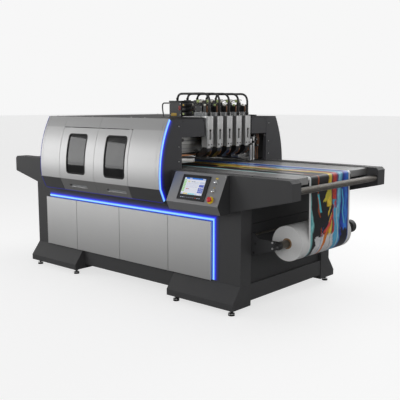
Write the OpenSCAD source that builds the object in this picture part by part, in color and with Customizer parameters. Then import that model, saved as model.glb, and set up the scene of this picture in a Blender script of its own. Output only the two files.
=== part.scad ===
// Roll-fed flatbed UV printer: long bed on a steel base, silver hood, five print heads.
// Millimetres. X runs along the bed (the web travels towards +X), Y across it with the
// operator at -Y, Z up. The origin is on the floor under the middle of the machine.

/* [Base cabinet] */
// Length of the base cabinet
body_l = 2182; // [1800:1:2620]
// Width of the base cabinet
body_w = 1090; // [950:1:1310]
// Height of the bed above the floor
bed_h = 900; // [860:1:1080]
// How far the bed reaches past the cabinet on the infeed side
overhang_left = 239.5; // [200:0.5:300]
// How far the bed reaches past the cabinet on the roll side
overhang_right = 406.5; // [380:0.5:500]
// Width of each corner post
post_w = 110; // [90:1:132]
// Sheet thickness of the cabinet
sheet_t = 3; // [2:0.5:4]

/* [Feet] */
// Length of each foot block
foot_l = 585; // [480:1:700]
// How far the foot blocks stand out in front of the cabinet
foot_out = 78; // [60:1:95]
// Height of a foot block's lower edge above the floor
foot_z = 43; // [36:1:52]
// Height of a foot block's upper edge above the floor
foot_top = 189; // [175:1:190]
// Diameter of a levelling foot
pad_d = 44; // [36:1:54]

/* [Doors] */
// Width of the two outer cabinet doors
outer_door_w = 395; // [330:1:474]
// Thickness of a cabinet door
door_t = 14; // [13:0.5:17]
// Gap between neighbouring doors
door_gap = 4; // [3.5:0.5:5]
// Diameter of the door pivot pins
door_pin_d = 4; // [3:0.5:4]

/* [Bed] */
// Width of the side beams
wing_w = 100; // [84:1:120]
// Thickness of the bed plate
bed_t = 45; // [38:1:54]
// Number of grooves in each half of the bed
groove_n = 6; // [4:1:8]
// Diameter of the bars across the ends
bar_d = 41; // [34:1:49]

/* [Hood] */
// Length of the hood
hood_l = 1326; // [1110:1:1500]
// Height of the hood above the bed
hood_rise = 354; // [330:1:424]
// Radius of the hood's front and back
hood_r = 773; // [730:1:850]
// Thickness of the hood skins
skin_t = 6; // [4:0.5:7]
// Width of the first hood door
lid1_w = 408; // [340:1:489]
// Width of the second hood door
lid2_w = 362; // [302:1:420]
// Width of each window
window_w = 220; // [184:1:264]

/* [Print heads] */
// Distance between neighbouring heads
head_pitch = 110; // [92:1:116]
// Width of a head column
head_w = 62; // [52:1:74]
// Travel of a head from parked to printing
head_travel = 55; // [46:1:58]
// Diameter of the cable conduits
conduit_d = 17; // [12:0.5:17]

/* [Media] */
// Width of the web
web_w = 512; // [427:1:560]
// Length of the rolls' cores
roll_l = 620; // [600:1:744]
// Radius of the full roll
roll_r = 114; // [95:1:120]
// Radius of the nearly empty roll
spent_r = 68; // [57:1:72]
// Outer diameter of the cardboard core
core_d = 70; // [62:1:84]
// Diameter of the roll shaft
shaft_d = 50; // [42:1:52]
// Diameter of the rollers at the bed's ends
nose_d = 40; // [34:1:42]

/* [Console] */
// Width of the console
console_w = 440; // [430:1:528]
// Width of the touch screen's frame
screen_w = 232; // [194:1:240]
// Height of the touch screen's frame
screen_h = 172; // [144:1:180]
// Diameter of the push buttons
button_d = 22; // [18:1:26]

/* [Hidden] */
HEADS = [1, 2, 3, 4, 5];
DOORS = [1, 2, 3, 4];
LIDS = [1, 2];
$fn = 96;

charcoal = [0.19, 0.20, 0.21];
silver = [0.70, 0.71, 0.72];
alloy = [0.74, 0.75, 0.76];
black = [0.05, 0.05, 0.06];
paper = [0.94, 0.94, 0.93];

// Small clearances
seam = 2;
run_gap = 0.05;
eps = 1;

// Places along the bed
span_l = body_l + overhang_left + overhang_right;
wing_x = span_l / 2;
body_x0 = -wing_x + overhang_left;
body_x1 = wing_x - overhang_right;
bed_end = wing_x - 87;
half_w = body_w / 2;

// Side beams
wing_y1 = half_w + 46;
wing_y0 = wing_y1 - wing_w;
wing_top = bed_h + 8;
wing_tip_z = bed_h - 117;
wing_low_z = bed_h - 235;
wing_slope_l = (wing_tip_z - wing_low_z) / 0.24;
wing_chamfer = 18;

// Cabinet
door_front_y = -half_w - 1 - door_t;
door_z0 = foot_top + 6;
door_z1 = bed_h - 312;
door_x0 = body_x0 + 143;
door_x1 = body_x1 - 237;
inner_door_w = (door_x1 - door_x0) / 2 - outer_door_w;
door_left = [door_x0, door_x0 + outer_door_w, door_x0 + outer_door_w + inner_door_w,
             door_x1 - outer_door_w];
door_width = [outer_door_w, inner_door_w, inner_door_w, outer_door_w];
pin_inset = 4;
panel_recess = 20;
seam_x = [door_left[1], door_left[2], door_left[3]];
tube_w = 60;
bed_beam_h = 75;
frame_z0 = 75;
floor_z = foot_top - 3;

// Hood outline in the YZ plane
hood_x0 = body_x0 + 295;
hood_x1 = hood_x0 + hood_l;
hood_top = bed_h + hood_rise;
hood_cz = hood_top - 382;
hood_reach = half_w + 170;
hood_cy = hood_r - hood_reach;
hood_low_z = bed_h - 210;
band_z = bed_h - 115;
lid_top_z = hood_top - 79;
hood_low_y = hood_reach - 47;
lean = (hood_y(band_z) - hood_low_y) / (band_z - hood_low_z);
end_t = 30;
arch_y = wing_y0 - 2;
arch_z = bed_h + 223;
lid_x = [hood_x0 + 247.5, hood_x0 + 247.5 + lid1_w];
lid_w = [lid1_w, lid2_w];
window_x = [lid_x[0] + 84, lid_x[1] + lid2_w - 32 - window_w];
window_z0 = bed_h - 72;
window_z1 = bed_h + 228;
hinge_depth = 12;
hinge_drop = 20;
hinge_angle = asin((lid_top_z - hood_cz) / hood_r) - hinge_drop / hood_r * 180 / PI;
hinge_y = hood_cy - (hood_r - hinge_depth) * cos(hinge_angle);
hinge_z = hood_cz + (hood_r - hinge_depth) * sin(hinge_angle);
knuckle_r = 7;
knuckle_l = 30;
hinge_pin_r = 4;

// Head bank
bank_y = 30;
head_y = [for (i = HEADS) bank_y + (i - 3) * head_pitch];
bank_x = hood_x1;
column_z0 = bed_h + 136;
column_z1 = hood_top + 9;
arm_z = hood_top + 36;
notch_y0 = head_y[0] - head_w / 2 - 28;
notch_y1 = head_y[4] + head_w / 2 + 17;
slot_z0 = bed_h + 195;
slot_z1 = slot_z0 + head_travel + 20;
head_low = bed_h + 62;
beam_x0 = bank_x - 236;
beam_w = 120;
beam_z0 = bed_h + 100;
beam_h = 120;
saddle_x1 = bank_x - 54;
rail_top = bed_h + 3;

// Console
console_x = hood_x1 + 68.5;
console_top = wing_top + 2;
face_top_y = -wing_y1 - 30;
lip_y = -wing_y1 - 124;
lip_z = bed_h - 178;
console_low_y = -wing_y1 - 95;
console_low_z = wing_low_z;
face_tilt = atan2(console_top - lip_z, face_top_y - lip_y);
button_u = 369;
screen_u = 203;
screen_v = 103;
button_v = [52, 112];
estop_v = 172;
estop_stem_r = 9;
plate_t = 3;

// Web and rolls
web_y = -10;
web_t = 0.6;
web_gap = 0.45;
nose_r = nose_d / 2;
nose_x = bed_end - nose_r;
nose_z = bed_h - nose_r;
nose_l = web_w + 28;
roll_z = bed_h - 428;
roll_x = bed_end + 7 - roll_r;
spent_x = -bed_end + spent_r;
roll_y0 = web_y - web_w / 2 - 74;
arm_t = 12;
arm_y = half_w - post_w - arm_t;
journal_r = 10;

function hood_y(z) = sqrt(hood_r * hood_r - (z - hood_cz) * (z - hood_cz)) - hood_cy;

// ---- helpers ----

// Extrudes a YZ outline along X
module along_x(x0, l) translate([x0, 0, 0]) rotate([90, 0, 90]) linear_extrude(l) children();

// Extrudes an XZ outline along Y
module along_y(y0, l) translate([0, y0 + l, 0]) rotate([90, 0, 0]) linear_extrude(l) children();

module box(a, b) translate(a) cube(b - a);

module rod_x(x0, l, r) translate([x0, 0, 0]) rotate([0, 90, 0]) cylinder(h = l, r = r);

module rod_y(y0, l, r) translate([0, y0, 0]) rotate([-90, 0, 0]) cylinder(h = l, r = r);

module both_sides() {
    children();
    mirror([0, 1, 0]) children();
}

module both_ends() {
    children();
    mirror([1, 0, 0]) children();
}

module rounded_rect(w, h, r) {
    translate([r, 0]) square([w - 2 * r, h]);
    translate([0, r]) square([w, h - 2 * r]);
    for (x = [r, w - r], y = [r, h - r])
        translate([x, y]) circle(r);
}

// Front half of the hood's round outline
module hood_half(inset) intersection() {
    translate([hood_cy, hood_cz]) circle(r = hood_r - inset, $fn = 240);
    translate([-hood_reach, 0]) square([hood_reach, hood_top]);
}

// Hood outline, set in by a distance
module hood_section(inset) {
    reach = lean * (hood_top - hood_low_z) + hood_low_y - inset * norm([1, lean]);
    foot = hood_low_y - inset * norm([1, lean]) + lean * inset;
    intersection() {
        union() {
            hood_half(inset);
            mirror([1, 0]) hood_half(inset);
        }
        polygon([[-foot, hood_low_z + inset], [foot, hood_low_z + inset],
                 [reach - lean * inset, hood_top - inset],
                 [-reach + lean * inset, hood_top - inset]]);
    }
}

// A strip of the front skin between two heights
module front_skin(x0, l, z0, z1, t = skin_t) {
    along_x(x0, l) intersection() {
        difference() {
            hood_section(0);
            hood_section(t);
        }
        translate([-hood_reach - 50, z0]) square([hood_reach + 50 - skin_edge_y, z1 - z0]);
    }
}
skin_edge_y = hood_y(hood_top) - 8;

// Outline of a side beam in the XZ plane
module wing_outline(grow = 0) {
    offset_z = wing_low_z - grow;
    polygon([[-wing_x + wing_chamfer, wing_top], [-wing_x, wing_top - wing_chamfer],
             [-wing_x, wing_tip_z - grow], [-wing_x + wing_slope_l, offset_z],
             [wing_x - wing_slope_l, offset_z], [wing_x, wing_tip_z - grow],
             [wing_x, wing_top - wing_chamfer], [wing_x - wing_chamfer, wing_top]]);
}

// ---- base ----

module base_frame() color(charcoal) {
    run_x0 = body_x0 + foot_l;
    run_x1 = body_x1 - foot_l;
    pan_t = 3;
    under_bed = bed_h - bed_t;
    // Lower ladder between the foot blocks
    both_sides() box([run_x0, -half_w + 15, frame_z0], [run_x1, -half_w + 75, floor_z]);
    for (x = [body_x0 + 4, body_x1 - tube_w])
        box([x, -half_w + post_w, frame_z0], [x + tube_w - 4, half_w - post_w, floor_z]);
    for (x = [run_x0, run_x1 - tube_w])
        box([x, -half_w + 75, frame_z0], [x + tube_w, half_w - 75, floor_z]);
    // Floor pan
    box([body_x0 + 60, -half_w + post_w, floor_z - pan_t],
        [body_x1 - 60, half_w - post_w, floor_z]);
    both_sides() box([run_x0, -half_w + 74, floor_z - pan_t],
                     [run_x1, -half_w + post_w + 2, floor_z]);
    // Uprights behind the door seams, and the struts that carry the bed beams
    for (x = seam_x) both_sides() {
        over_foot = x - tube_w / 2 < run_x0 || x + tube_w / 2 > run_x1;
        z0 = over_foot ? foot_top : floor_z - pan_t;
        box([x - tube_w / 2, -half_w + sheet_t, z0],
            [x + tube_w / 2, -wing_y0 - 1, wing_low_z]);
        box([x - tube_w / 2, -wing_y0 - 2, z0],
            [x + tube_w / 2, -wing_y0 + 53, wing_low_z]);
        box([x - tube_w / 2, -wing_y0 + 1, wing_low_z - 1],
            [x + tube_w / 2, -wing_y0 + 53, under_bed - bed_beam_h + 1]);
    }
    // Beams under the bed
    both_sides() box([-bed_end + 70, -wing_y0 + 1, under_bed - bed_beam_h],
                     [bed_end - 70, -wing_y0 + 61, under_bed]);
    for (x = concat([body_x0 + 70], seam_x, [body_x1 - 70]))
        box([x - tube_w / 2, -wing_y0 + 60, under_bed - 60],
            [x + tube_w / 2, wing_y0 - 60, under_bed]);
}

module base_shell() color(charcoal) difference() {
    union() {
        both_sides() for (x = [body_x0, body_x1 - post_w])
            difference() {
                box([x, -half_w, foot_top], [x + post_w, -half_w + post_w, bed_h - bed_t - 80]);
                box([x + sheet_t, -half_w + sheet_t, foot_top - eps],
                    [x + post_w - sheet_t, -half_w + post_w - sheet_t, bed_h]);
            }
        // Closed back sheet
        box([body_x0 + post_w, half_w - sheet_t, foot_top],
            [body_x1 - post_w, half_w, bed_h - 200]);
        // Front sheet with the door openings
        difference() {
            box([body_x0 + post_w, -half_w, foot_top],
                [body_x1 - post_w, -half_w + sheet_t, bed_h - 200]);
            for (i = [0:3])
                box([door_left[i] + (i == 0 ? 22 : 34), -half_w - eps, door_z0 + 20],
                    [door_left[i] + door_width[i] - (i == 3 ? 22 : 34),
                     -half_w + 10, door_z1 - 20]);
        }
    }
    // Room for the side beams
    both_sides() along_y(-wing_y1 - eps, wing_w + eps) union() {
        wing_outline();
        translate([0, 60]) wing_outline();
    }
}

panel_seam_z = bed_h - 322;

module end_panels() color([0.15, 0.16, 0.17])
    for (x = [body_x0 + panel_recess, body_x1 - panel_recess - 10])
        for (z = [[floor_z, panel_seam_z], [panel_seam_z + 3, bed_h - bed_t - bed_beam_h]])
            box([x, -half_w + post_w, z[0]], [x + 10, half_w - post_w, z[1]]);

module foot_profile() polygon([[-half_w + post_w, foot_z], [-half_w + post_w, foot_top],
    [-half_w, foot_top], [-half_w - foot_out, foot_z + 43], [-half_w - foot_out, foot_z]]);

foot_screw_r = 7;
foot_inset = 47;
foot_y = half_w + foot_out - foot_inset;
foot_block_x = [body_x0, body_x1 - foot_l];
foot_screw_x = [for (x = foot_block_x, dx = [foot_inset, foot_l - foot_inset]) x + dx];

module foot_blocks() color(charcoal) both_sides() difference() {
    for (x = foot_block_x) along_x(x, foot_l) foot_profile();
    for (x = foot_screw_x) translate([x, -foot_y, foot_z - eps])
        cylinder(h = 46, r = foot_screw_r);
}

module levelling_feet() color(black) both_sides() for (x = foot_screw_x)
    translate([x, -foot_y, 0]) rotate_extrude()
        polygon([[0, 0], [pad_d / 2, 0], [pad_d / 2, 5], [pad_d / 2 - 9, 11],
                 [foot_screw_r, 13], [foot_screw_r, foot_z + 45], [0, foot_z + 45]]);

module wing() color(charcoal) difference() {
    along_y(-wing_y1, wing_w) wing_outline();
    // Sockets for the cross bars
    both_ends() translate([bar_x, 0, bar_z]) rod_y(-wing_y0 - 12, 20, bar_d / 2);
}

bar_x = wing_x - 24;
bar_z = bed_h - 66;

module wing_front() wing();
module wing_rear() mirror([0, 1, 0]) wing();

// ---- bed ----

module table_bed() color(alloy) difference() {
    box([-bed_end, -wing_y0 + 40, bed_h - bed_t], [bed_end, wing_y0 - 40, bed_h]);
    // Grooves along the bed, clear of the web
    groove_pitch = (wing_y0 - 40 - nose_l / 2) / (groove_n + 1);
    for (s = [-1, 1], i = [1:groove_n])
        box([-bed_end - eps, s * (nose_l / 2 + i * groove_pitch) - 3, bed_h - 6],
            [bed_end + eps, s * (nose_l / 2 + i * groove_pitch) + 3, bed_h + eps]);
    both_ends() {
        // Pocket and bearing bores of the end roller
        box([nose_x - nose_r - 4, web_y - nose_l / 2 - 1, bed_h - bed_t - eps],
            [bed_end + eps, web_y + nose_l / 2 + 1, bed_h + eps]);
        translate([nose_x, 0, nose_z])
            rod_y(web_y - nose_l / 2 - 16, nose_l + 32, nose_axle_r + run_gap);
    }
}
nose_axle_r = 6;

module edge_rails() color([0.80, 0.80, 0.81]) both_sides() difference() {
    box([-bed_end, -wing_y0, bed_h - bed_t], [bed_end, -wing_y0 + 40, rail_top]);
    box([-bed_end - eps, -wing_y0 + 16, rail_top - 7], [bed_end + eps, -wing_y0 + 24, bed_h + 9]);
}

module cross_bars() color([0.45, 0.43, 0.41]) {
    both_ends() translate([bar_x, 0, bar_z]) difference() {
        rod_y(-wing_y0 - 12, 2 * wing_y0 + 24, bar_d / 2);
        rod_y(-wing_y0 - 13, 2 * wing_y0 + 26, bar_d / 2 - 4);
    }
    // Tie rods between the roll arms
    for (x = [body_x1 - 10, body_x0 + 10])
        translate([x + (x > 0 ? 15 : -15), 0, roll_z + 42])
            rod_y(-arm_y, 2 * arm_y, 8);
}

// ---- light strips ----

led_w = 14;
led_t = 4;
led_z = door_z1 + 8;
led_x1 = door_x1 + 6;

module hood_led(x0) along_x(x0, led_t) intersection() {
    difference() {
        hood_section(2);
        hood_section(2 + led_w);
    }
    translate([-hood_reach - 50, hood_low_z + led_w + 3])
        square([hood_reach + 50 - skin_edge_y - 6, hood_rise + 210 - led_w * 2]);
}

module led_strips() color([0.35, 0.65, 1]) {
    hood_led(hood_x1);
    hood_led(hood_x0 - led_t);
    box([door_x0 + 36, -half_w - led_t, led_z], [led_x1, -half_w, led_z + led_w]);
    box([led_x1, -half_w - led_t, door_z0 + 4], [led_x1 + led_w, -half_w, led_z + led_w]);
}

// ---- cabinet doors ----

function pivot_x(i) = i < 3 ? door_left[i - 1] + door_gap / 2 + pin_inset
                            : door_left[i - 1] + door_width[i - 1] - door_gap / 2 - pin_inset;
pivot_y = door_front_y + pin_inset;

module cabinet_door(i) color(silver) difference() {
    x0 = door_left[i - 1] + door_gap / 2;
    x1 = door_left[i - 1] + door_width[i - 1] - door_gap / 2;
    box([x0, door_front_y, door_z0], [x1, door_front_y + door_t, door_z1]);
    box([x0 + 16, door_front_y + 3, door_z0 + 16],
        [x1 - 16, door_front_y + door_t + eps, door_z1 - 16]);
    for (z = [door_z0 - eps, door_z1 - 11]) translate([pivot_x(i), pivot_y, z])
        cylinder(h = 12, r = door_pin_d / 2 + run_gap);
}

module hinge_pins() color([0.6, 0.6, 0.6]) {
    for (i = DOORS) translate([pivot_x(i), pivot_y, 0]) {
        pin_flag(door_z1 + 0.8);
        translate([0, 0, door_z0 - 0.8]) mirror([0, 0, 1]) pin_flag(0);
    }
    // Hood door pins and the plates that hold them under the top band
    for (i = LIDS, e = [0, 1]) {
        x = e == 0 ? lid_x[i - 1] + 12 : lid_x[i - 1] + lid_w[i - 1] - 12 - knuckle_l;
        plate_x = e == 0 ? x + knuckle_l + 1 : x - 6;
        translate([0, hinge_y, hinge_z]) rod_x(e == 0 ? x : x - 6, knuckle_l + 6, hinge_pin_r);
        along_x(plate_x, 5) difference() {
            intersection() {
                hood_section(skin_t);
                translate([hinge_y - 16, hinge_z - 9]) square([60, hood_top - hinge_z]);
                union() {
                    translate([hinge_y, hinge_z]) circle(r = hinge_pin_r + 1.4);
                    translate([hinge_y, hinge_z - 9]) square([44, 10.5]);
                    translate([hinge_y + 24, hinge_z - 9]) square([20, hood_top - hinge_z]);
                    translate([hinge_y - 16, lid_top_z + 8]) square([60, 60]);
                }
            }
            translate([hinge_y, hinge_z]) circle(r = hinge_pin_r);
        }
    }
}

// A door pin on a small plate that reaches back to the cabinet
module pin_flag(z) {
    translate([0, 0, z - 9]) cylinder(h = 12, r = door_pin_d / 2);
    box([-5, -3.5, z], [5, -pivot_y - half_w, z + 3]);
}

// ---- hood ----

module hood_skin() color(silver) {
    right_x0 = lid_x[1] + lid2_w;
    // Fixed panels left and right of the doors
    front_skin(hood_x0 + end_t + 1, lid_x[0] - seam - hood_x0 - end_t - 1, band_z,
               lid_top_z + seam);
    front_skin(right_x0 + seam, hood_x1 - end_t - 1 - right_x0 - seam, band_z,
               lid_top_z + seam);
    // Top band in three lengths
    band_x = [hood_x0 + end_t + 1, lid_x[0], lid_x[1], hood_x1 - end_t - 1];
    for (k = [0:2]) front_skin(band_x[k] + seam / 2, band_x[k + 1] - band_x[k] - seam,
                               lid_top_z + seam, hood_top);
    // Edge strips over the ends
    for (x = [hood_x0, hood_x1 - end_t]) front_skin(x, end_t, band_z, hood_top);
}

module hood_fascia() color(charcoal) {
    right_x0 = lid_x[1] + lid2_w;
    front_skin(hood_x0, lid_x[0] - seam - hood_x0, hood_low_z, band_z);
    front_skin(right_x0 + seam, hood_x1 - right_x0 - seam, hood_low_z, band_z);
    // Ledge under the overhang, broad beside the doors and narrow behind them
    box([hood_x0 + end_t, -skin_edge_y + 2, hood_low_z],
        [hood_x1 - end_t, -wing_y1, hood_low_z + skin_t]);
    for (x = [[hood_x0 + end_t, lid_x[0] - seam], [right_x0 + seam, hood_x1 - end_t]])
        box([x[0], -skin_edge_y - eps, hood_low_z], [x[1], -wing_y1, hood_low_z + skin_t]);
}

module hood_top_cover() color([0.13, 0.13, 0.14]) difference() {
    box([hood_x0, -skin_edge_y, hood_top - skin_t], [hood_x1, skin_edge_y, hood_top]);
    box([beam_x0, notch_y0, hood_top - skin_t - eps], [hood_x1 + eps, notch_y1, hood_top + eps]);
}

module hood_back_cover() color(charcoal) mirror([0, 1, 0]) {
    front_skin(hood_x0, hood_l, hood_low_z, hood_top);
    box([hood_x0 + end_t, -skin_edge_y - eps, hood_low_z],
        [hood_x1 - end_t, -wing_y1, hood_low_z + skin_t]);
}

// End frame with the arch that the web passes through
module hood_end(x0) color([0.21, 0.215, 0.23]) difference() {
    along_x(x0, end_t) hood_section(skin_t);
    box([x0 - eps, -arch_y, hood_low_z - eps], [x0 + end_t + eps, arch_y, hood_top + eps]);
    box([x0 - eps, -wing_y1, hood_low_z - eps], [x0 + end_t + eps, wing_y1, wing_top]);
}

module hood_end_right() hood_end(hood_x1 - end_t);

module hood_end_left() color([0.21, 0.215, 0.23]) {
    hood_end(hood_x0);
    box([hood_x0, -arch_y - eps, arch_z], [hood_x0 + end_t, arch_y + eps, hood_top - skin_t]);
}

// Cover over the beam, cut away for the heads
module beam_cover() color([0.21, 0.215, 0.23]) {
    for (y = [[-arch_y, notch_y0], [notch_y1, arch_y]])
        box([hood_x1 - 12, y[0], arch_z], [hood_x1 - 1, y[1], hood_top - skin_t]);
    for (y = [-arch_y, notch_y0 - 3, notch_y1, arch_y - 3])
        box([beam_x0 - 8, y, arch_z], [hood_x1 - 12, y + 3, hood_top - skin_t]);
    box([beam_x0 - 11, -arch_y, arch_z], [beam_x0 - 8, arch_y, hood_top - skin_t]);
}

module window_cut(i, grow, z_grow) along_y(-hood_reach - 20, 200)
    translate([window_x[i - 1] - grow, window_z0 - z_grow])
        rounded_rect(window_w + 2 * grow, window_z1 - window_z0 + 2 * z_grow, 26 + grow);

module hood_door(i) color(silver) difference() {
    x0 = lid_x[i - 1] + seam / 2;
    l = lid_w[i - 1] - seam;
    union() {
        front_skin(x0, l, band_z, lid_top_z - seam);
        for (x = [x0 + 11, x0 + l - 11 - knuckle_l])
            translate([0, hinge_y, hinge_z]) rod_x(x, knuckle_l, knuckle_r);
        // Stiffener down each side
        for (x = [x0 + 2, x0 + l - 14]) front_skin(x, 12, band_z + 12, hinge_z - 30, 22);
    }
    window_cut(i, 0, 0);
    // Ledge that the pane sits on, from inside
    intersection() {
        window_cut(i, 8, 8);
        along_x(x0, l) hood_section(skin_t - 2);
    }
    translate([0, hinge_y, hinge_z]) rod_x(x0, l, hinge_pin_r + run_gap);
}

// Dark lower band of a hood door with its recessed grip
module hood_band(i) color(charcoal) difference() {
    x0 = lid_x[i - 1] + seam / 2;
    l = lid_w[i - 1] - seam;
    grip_x = window_x[i - 1] + 8;
    union() {
        front_skin(x0, l, hood_low_z, band_z);
        front_skin(grip_x - 6, 216, hood_low_z + 24, band_z - 34, 20);
    }
    difference() {
        along_y(-hood_reach - 20, 200) translate([grip_x, hood_low_z + 30])
            rounded_rect(204, band_z - hood_low_z - 70, 7);
        along_x(grip_x - 1, 206) hood_section(16);
    }
}

module hood_window(i) color([0.1, 0.1, 0.11, 0.6]) intersection() {
    window_cut(i, 8, 8);
    along_x(window_x[i - 1] - 10, window_w + 20) difference() {
        hood_section(skin_t - 2);
        hood_section(skin_t + 1);
    }
}

// ---- beam and heads ----

module gantry_beam() color(alloy) {
    difference() {
        box([beam_x0, -arch_y, beam_z0], [beam_x0 + beam_w, arch_y, beam_z0 + beam_h]);
        box([beam_x0 + 6, -arch_y - eps, beam_z0 + 6],
            [beam_x0 + beam_w - 6, arch_y + eps, beam_z0 + beam_h - 6]);
        for (z = [beam_z0 + 30, beam_z0 + 60, beam_z0 + 90], x = [beam_x0, beam_x0 + beam_w])
            box([x - 2, -arch_y - eps, z - 4], [x + 2, arch_y + eps, z + 4]);
    }
    both_sides() box([beam_x0 + 20, -arch_y + 6, rail_top],
                     [beam_x0 + beam_w - 20, -arch_y + 36, beam_z0]);
}

module bank_bracket() color(alloy) difference() {
    box([beam_x0 + 10, notch_y0 + 8, beam_z0 + beam_h], [saddle_x1, notch_y1 - 8, arm_z - 28]);
    box([beam_x0 + 16, notch_y0 - eps, beam_z0 + beam_h + 6],
        [saddle_x1 - 6, notch_y1 + eps, arm_z - 34]);
}

// One column: slotted front plate, side plates and the arm over the beam
module head_column() {
    w = head_w / 2;
    difference() {
        union() {
            box([bank_x - 8, -w, column_z0], [bank_x, w, column_z1]);
            for (y = [-w, w - 6]) box([saddle_x1, y, column_z0 + 6], [bank_x - 8, y + 6, column_z1]);
            box([saddle_x1, -w, column_z0 + 6], [saddle_x1 + 6, w, column_z1]);
            box([bank_x - 126, -w, arm_z - 28], [arm_x1, w, arm_z]);
        }
        box([saddle_x1 + 6, -w + 6, arm_z - 40], [arm_x1 - 6, w - 6, arm_z - 6]);
        box([bank_x - 120, -w + 6, arm_z - 22], [arm_x1 - 6, w - 6, arm_z - 6]);
        // Slot for the head's stud
        box([bank_x - 9, -stud_r - 1, slot_z0], [bank_x + eps, stud_r + 1, slot_z1]);
        for (y = [-16, 16]) translate([0, y, column_z0 + 24]) rod_x(bank_x - 9, 10, 4);
        box([bank_x - 9, 4, column_z0 - eps], [bank_x + eps, w + eps, column_z0 + 10]);
    }
}
stud_r = 7;
arm_x1 = bank_x - 17;

module head_columns() color(alloy) for (y = head_y) translate([0, y, 0]) head_column();

// A print head hangs from a slide inside its column
module print_head(i) color(black) translate([0, head_y[i - 1], 0]) {
    slide_y = head_w / 2 - 6.2;
    slide_x0 = saddle_x1 + 6.2;
    slide_x1 = bank_x - 8.2;
    top_z = column_z0 - 0.5;
    box([slide_x0, -slide_y, top_z - 10], [slide_x1, slide_y, slot_z1 - 12]);
    translate([0, 0, slot_z1 - stud_r - 2]) rod_x(slide_x1 - 1, 13, stud_r - 1);
    // Slanted body with its nozzle foot
    along_y(-slide_y - 1, 2 * slide_y + 2) polygon([
        [slide_x0 - 2, top_z], [slide_x1 + 5, top_z],
        [slide_x1 + 1, top_z - 24], [bank_x - 52, head_low + 12],
        [bank_x - 58, head_low], [bank_x - 122, head_low], [bank_x - 126, head_low + 22]]);
}

module lift_motors() color([0.07, 0.07, 0.08]) for (y = head_y) translate([0, y, 0]) {
    box([bank_x - 122, -24, arm_z], [bank_x - 60, 24, arm_z + 48]);
    translate([bank_x - 91, 0, arm_z + 48]) cylinder(h = 22, r = 17);
    box([bank_x - 50, -20, arm_z], [bank_x - 24, 20, arm_z + 40]);
}

// Conduit loops from the columns over the beam to the terminal box
loop_top = hood_top + 171;
loop_r = 56;
loop_x1 = bank_x - 8;
loop_x0 = bank_x - 322;

// Points of a loop as [x, z, angle of the outer side], from x1's end up and over to x0's
function bend(cx, cz, r, a0, a1) = [for (k = [0:6]) let (a = a0 + (a1 - a0) * k / 6)
    [cx + r * cos(a), cz + r * sin(a), a]];
function loop_route(x0, x1, z0, z1, top, r) = concat([[x1, z1, 0]],
    bend(x1 - r, top - r, r, 0, 90), bend(x0 + r, top - r, r, 90, 180), [[x0, z0, 180]]);

tube_n = 12;

// Sweeps a round tube along a route that lies in the XZ plane
module tube(route, d) {
    n = len(route);
    points = [for (p = route, k = [0:tube_n - 1]) let (t = 360 * k / tube_n, s = sin(t) * d / 2)
        [p[0] + s * cos(p[2]), cos(t) * d / 2, p[1] + s * sin(p[2])]];
    sides = [for (j = [0:n - 2], k = [0:tube_n - 1]) let (m = (k + 1) % tube_n)
        [j * tube_n + k, j * tube_n + m, (j + 1) * tube_n + m, (j + 1) * tube_n + k]];
    start = [for (k = [0:tube_n - 1]) tube_n - 1 - k];
    finish = [for (k = [0:tube_n - 1]) (n - 1) * tube_n + k];
    polyhedron(points, concat(sides, [start, finish]));
}

module cable_loops() color(black) {
    for (y = head_y) translate([0, y, 0])
        tube(loop_route(loop_x0, loop_x1, box_top, column_z1, loop_top, loop_r), conduit_d);
    // Lead from the box down to the hood's top
    translate([0, box_y0 + 40, 0])
        tube(concat([[box_x0, hood_top + 102, 90]],
                    bend(box_x0 - 66, hood_top + 56, 46, 90, 180),
                    [[box_x0 - 98, hood_top, 180]]), 10);
}

box_x0 = bank_x - 347;
box_x1 = bank_x - 228;
box_y0 = head_y[0] - 60;
box_top = hood_top + 118;

module terminal_box() color([0.16, 0.16, 0.17]) {
    box([box_x0, box_y0, hood_top], [box_x1, head_y[0] + 30, box_top]);
    for (i = [1:4]) box([loop_x0 - 34, head_y[i] - 30, hood_top],
                        [loop_x0 + 34, head_y[i] + 30, box_top]);
}

module uv_lamp() color([0.25, 0.25, 0.27]) {
    lamp_y = wing_y0 - 60;
    difference() {
        box([beam_x0 - 130, -lamp_y, bed_h + 70], [beam_x0 - 10, lamp_y, bed_h + 190]);
        // Three lamp windows
        for (k = [-1:1]) box([beam_x0 - 110, k * lamp_y * 2 / 3 - 110, bed_h + 69],
                             [beam_x0 - 30, k * lamp_y * 2 / 3 + 110, bed_h + 100]);
    }
    // Lugs on the beam
    for (y = [-200, 200]) box([beam_x0 - 11, y - 20, beam_z0 + 38], [beam_x0, y + 20, beam_z0 + 52]);
}

// ---- console ----

module console_outline(inset = 0) polygon([
    [-wing_y1, console_top - inset], [face_top_y - inset * 0.2, console_top - inset],
    [lip_y + inset * 1.1, lip_z + inset * 0.1], [console_low_y + inset * 0.6,
     console_low_z + inset], [-wing_y1, console_low_z + inset]]);

// Places things on the sloping face: u from the left edge, v down from the top edge
module on_face(u, v) translate([console_x + u, face_top_y, console_top])
    rotate([face_tilt, 0, 0]) translate([0, -v, 0]) children();

module console_housing() color(silver) difference() {
    along_x(console_x, console_w) console_outline();
    along_x(console_x + 3, console_w - 6) difference() {
        console_outline(3);
        translate([-wing_y1 - 2, 0]) square([10, 2000]);
    }
    on_face(screen_u - screen_w / 2 + 8, screen_v + screen_h / 2 - 8)
        translate([0, 0, -40]) cube([screen_w - 16, screen_h - 16, 50]);
    for (v = button_v) on_face(button_u, v)
        translate([0, 0, -30]) cylinder(h = 40, r = button_d / 2 - 3 + run_gap);
    on_face(button_u, estop_v) translate([0, 0, -30])
        cylinder(h = 40, r = estop_stem_r + run_gap);
}

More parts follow.
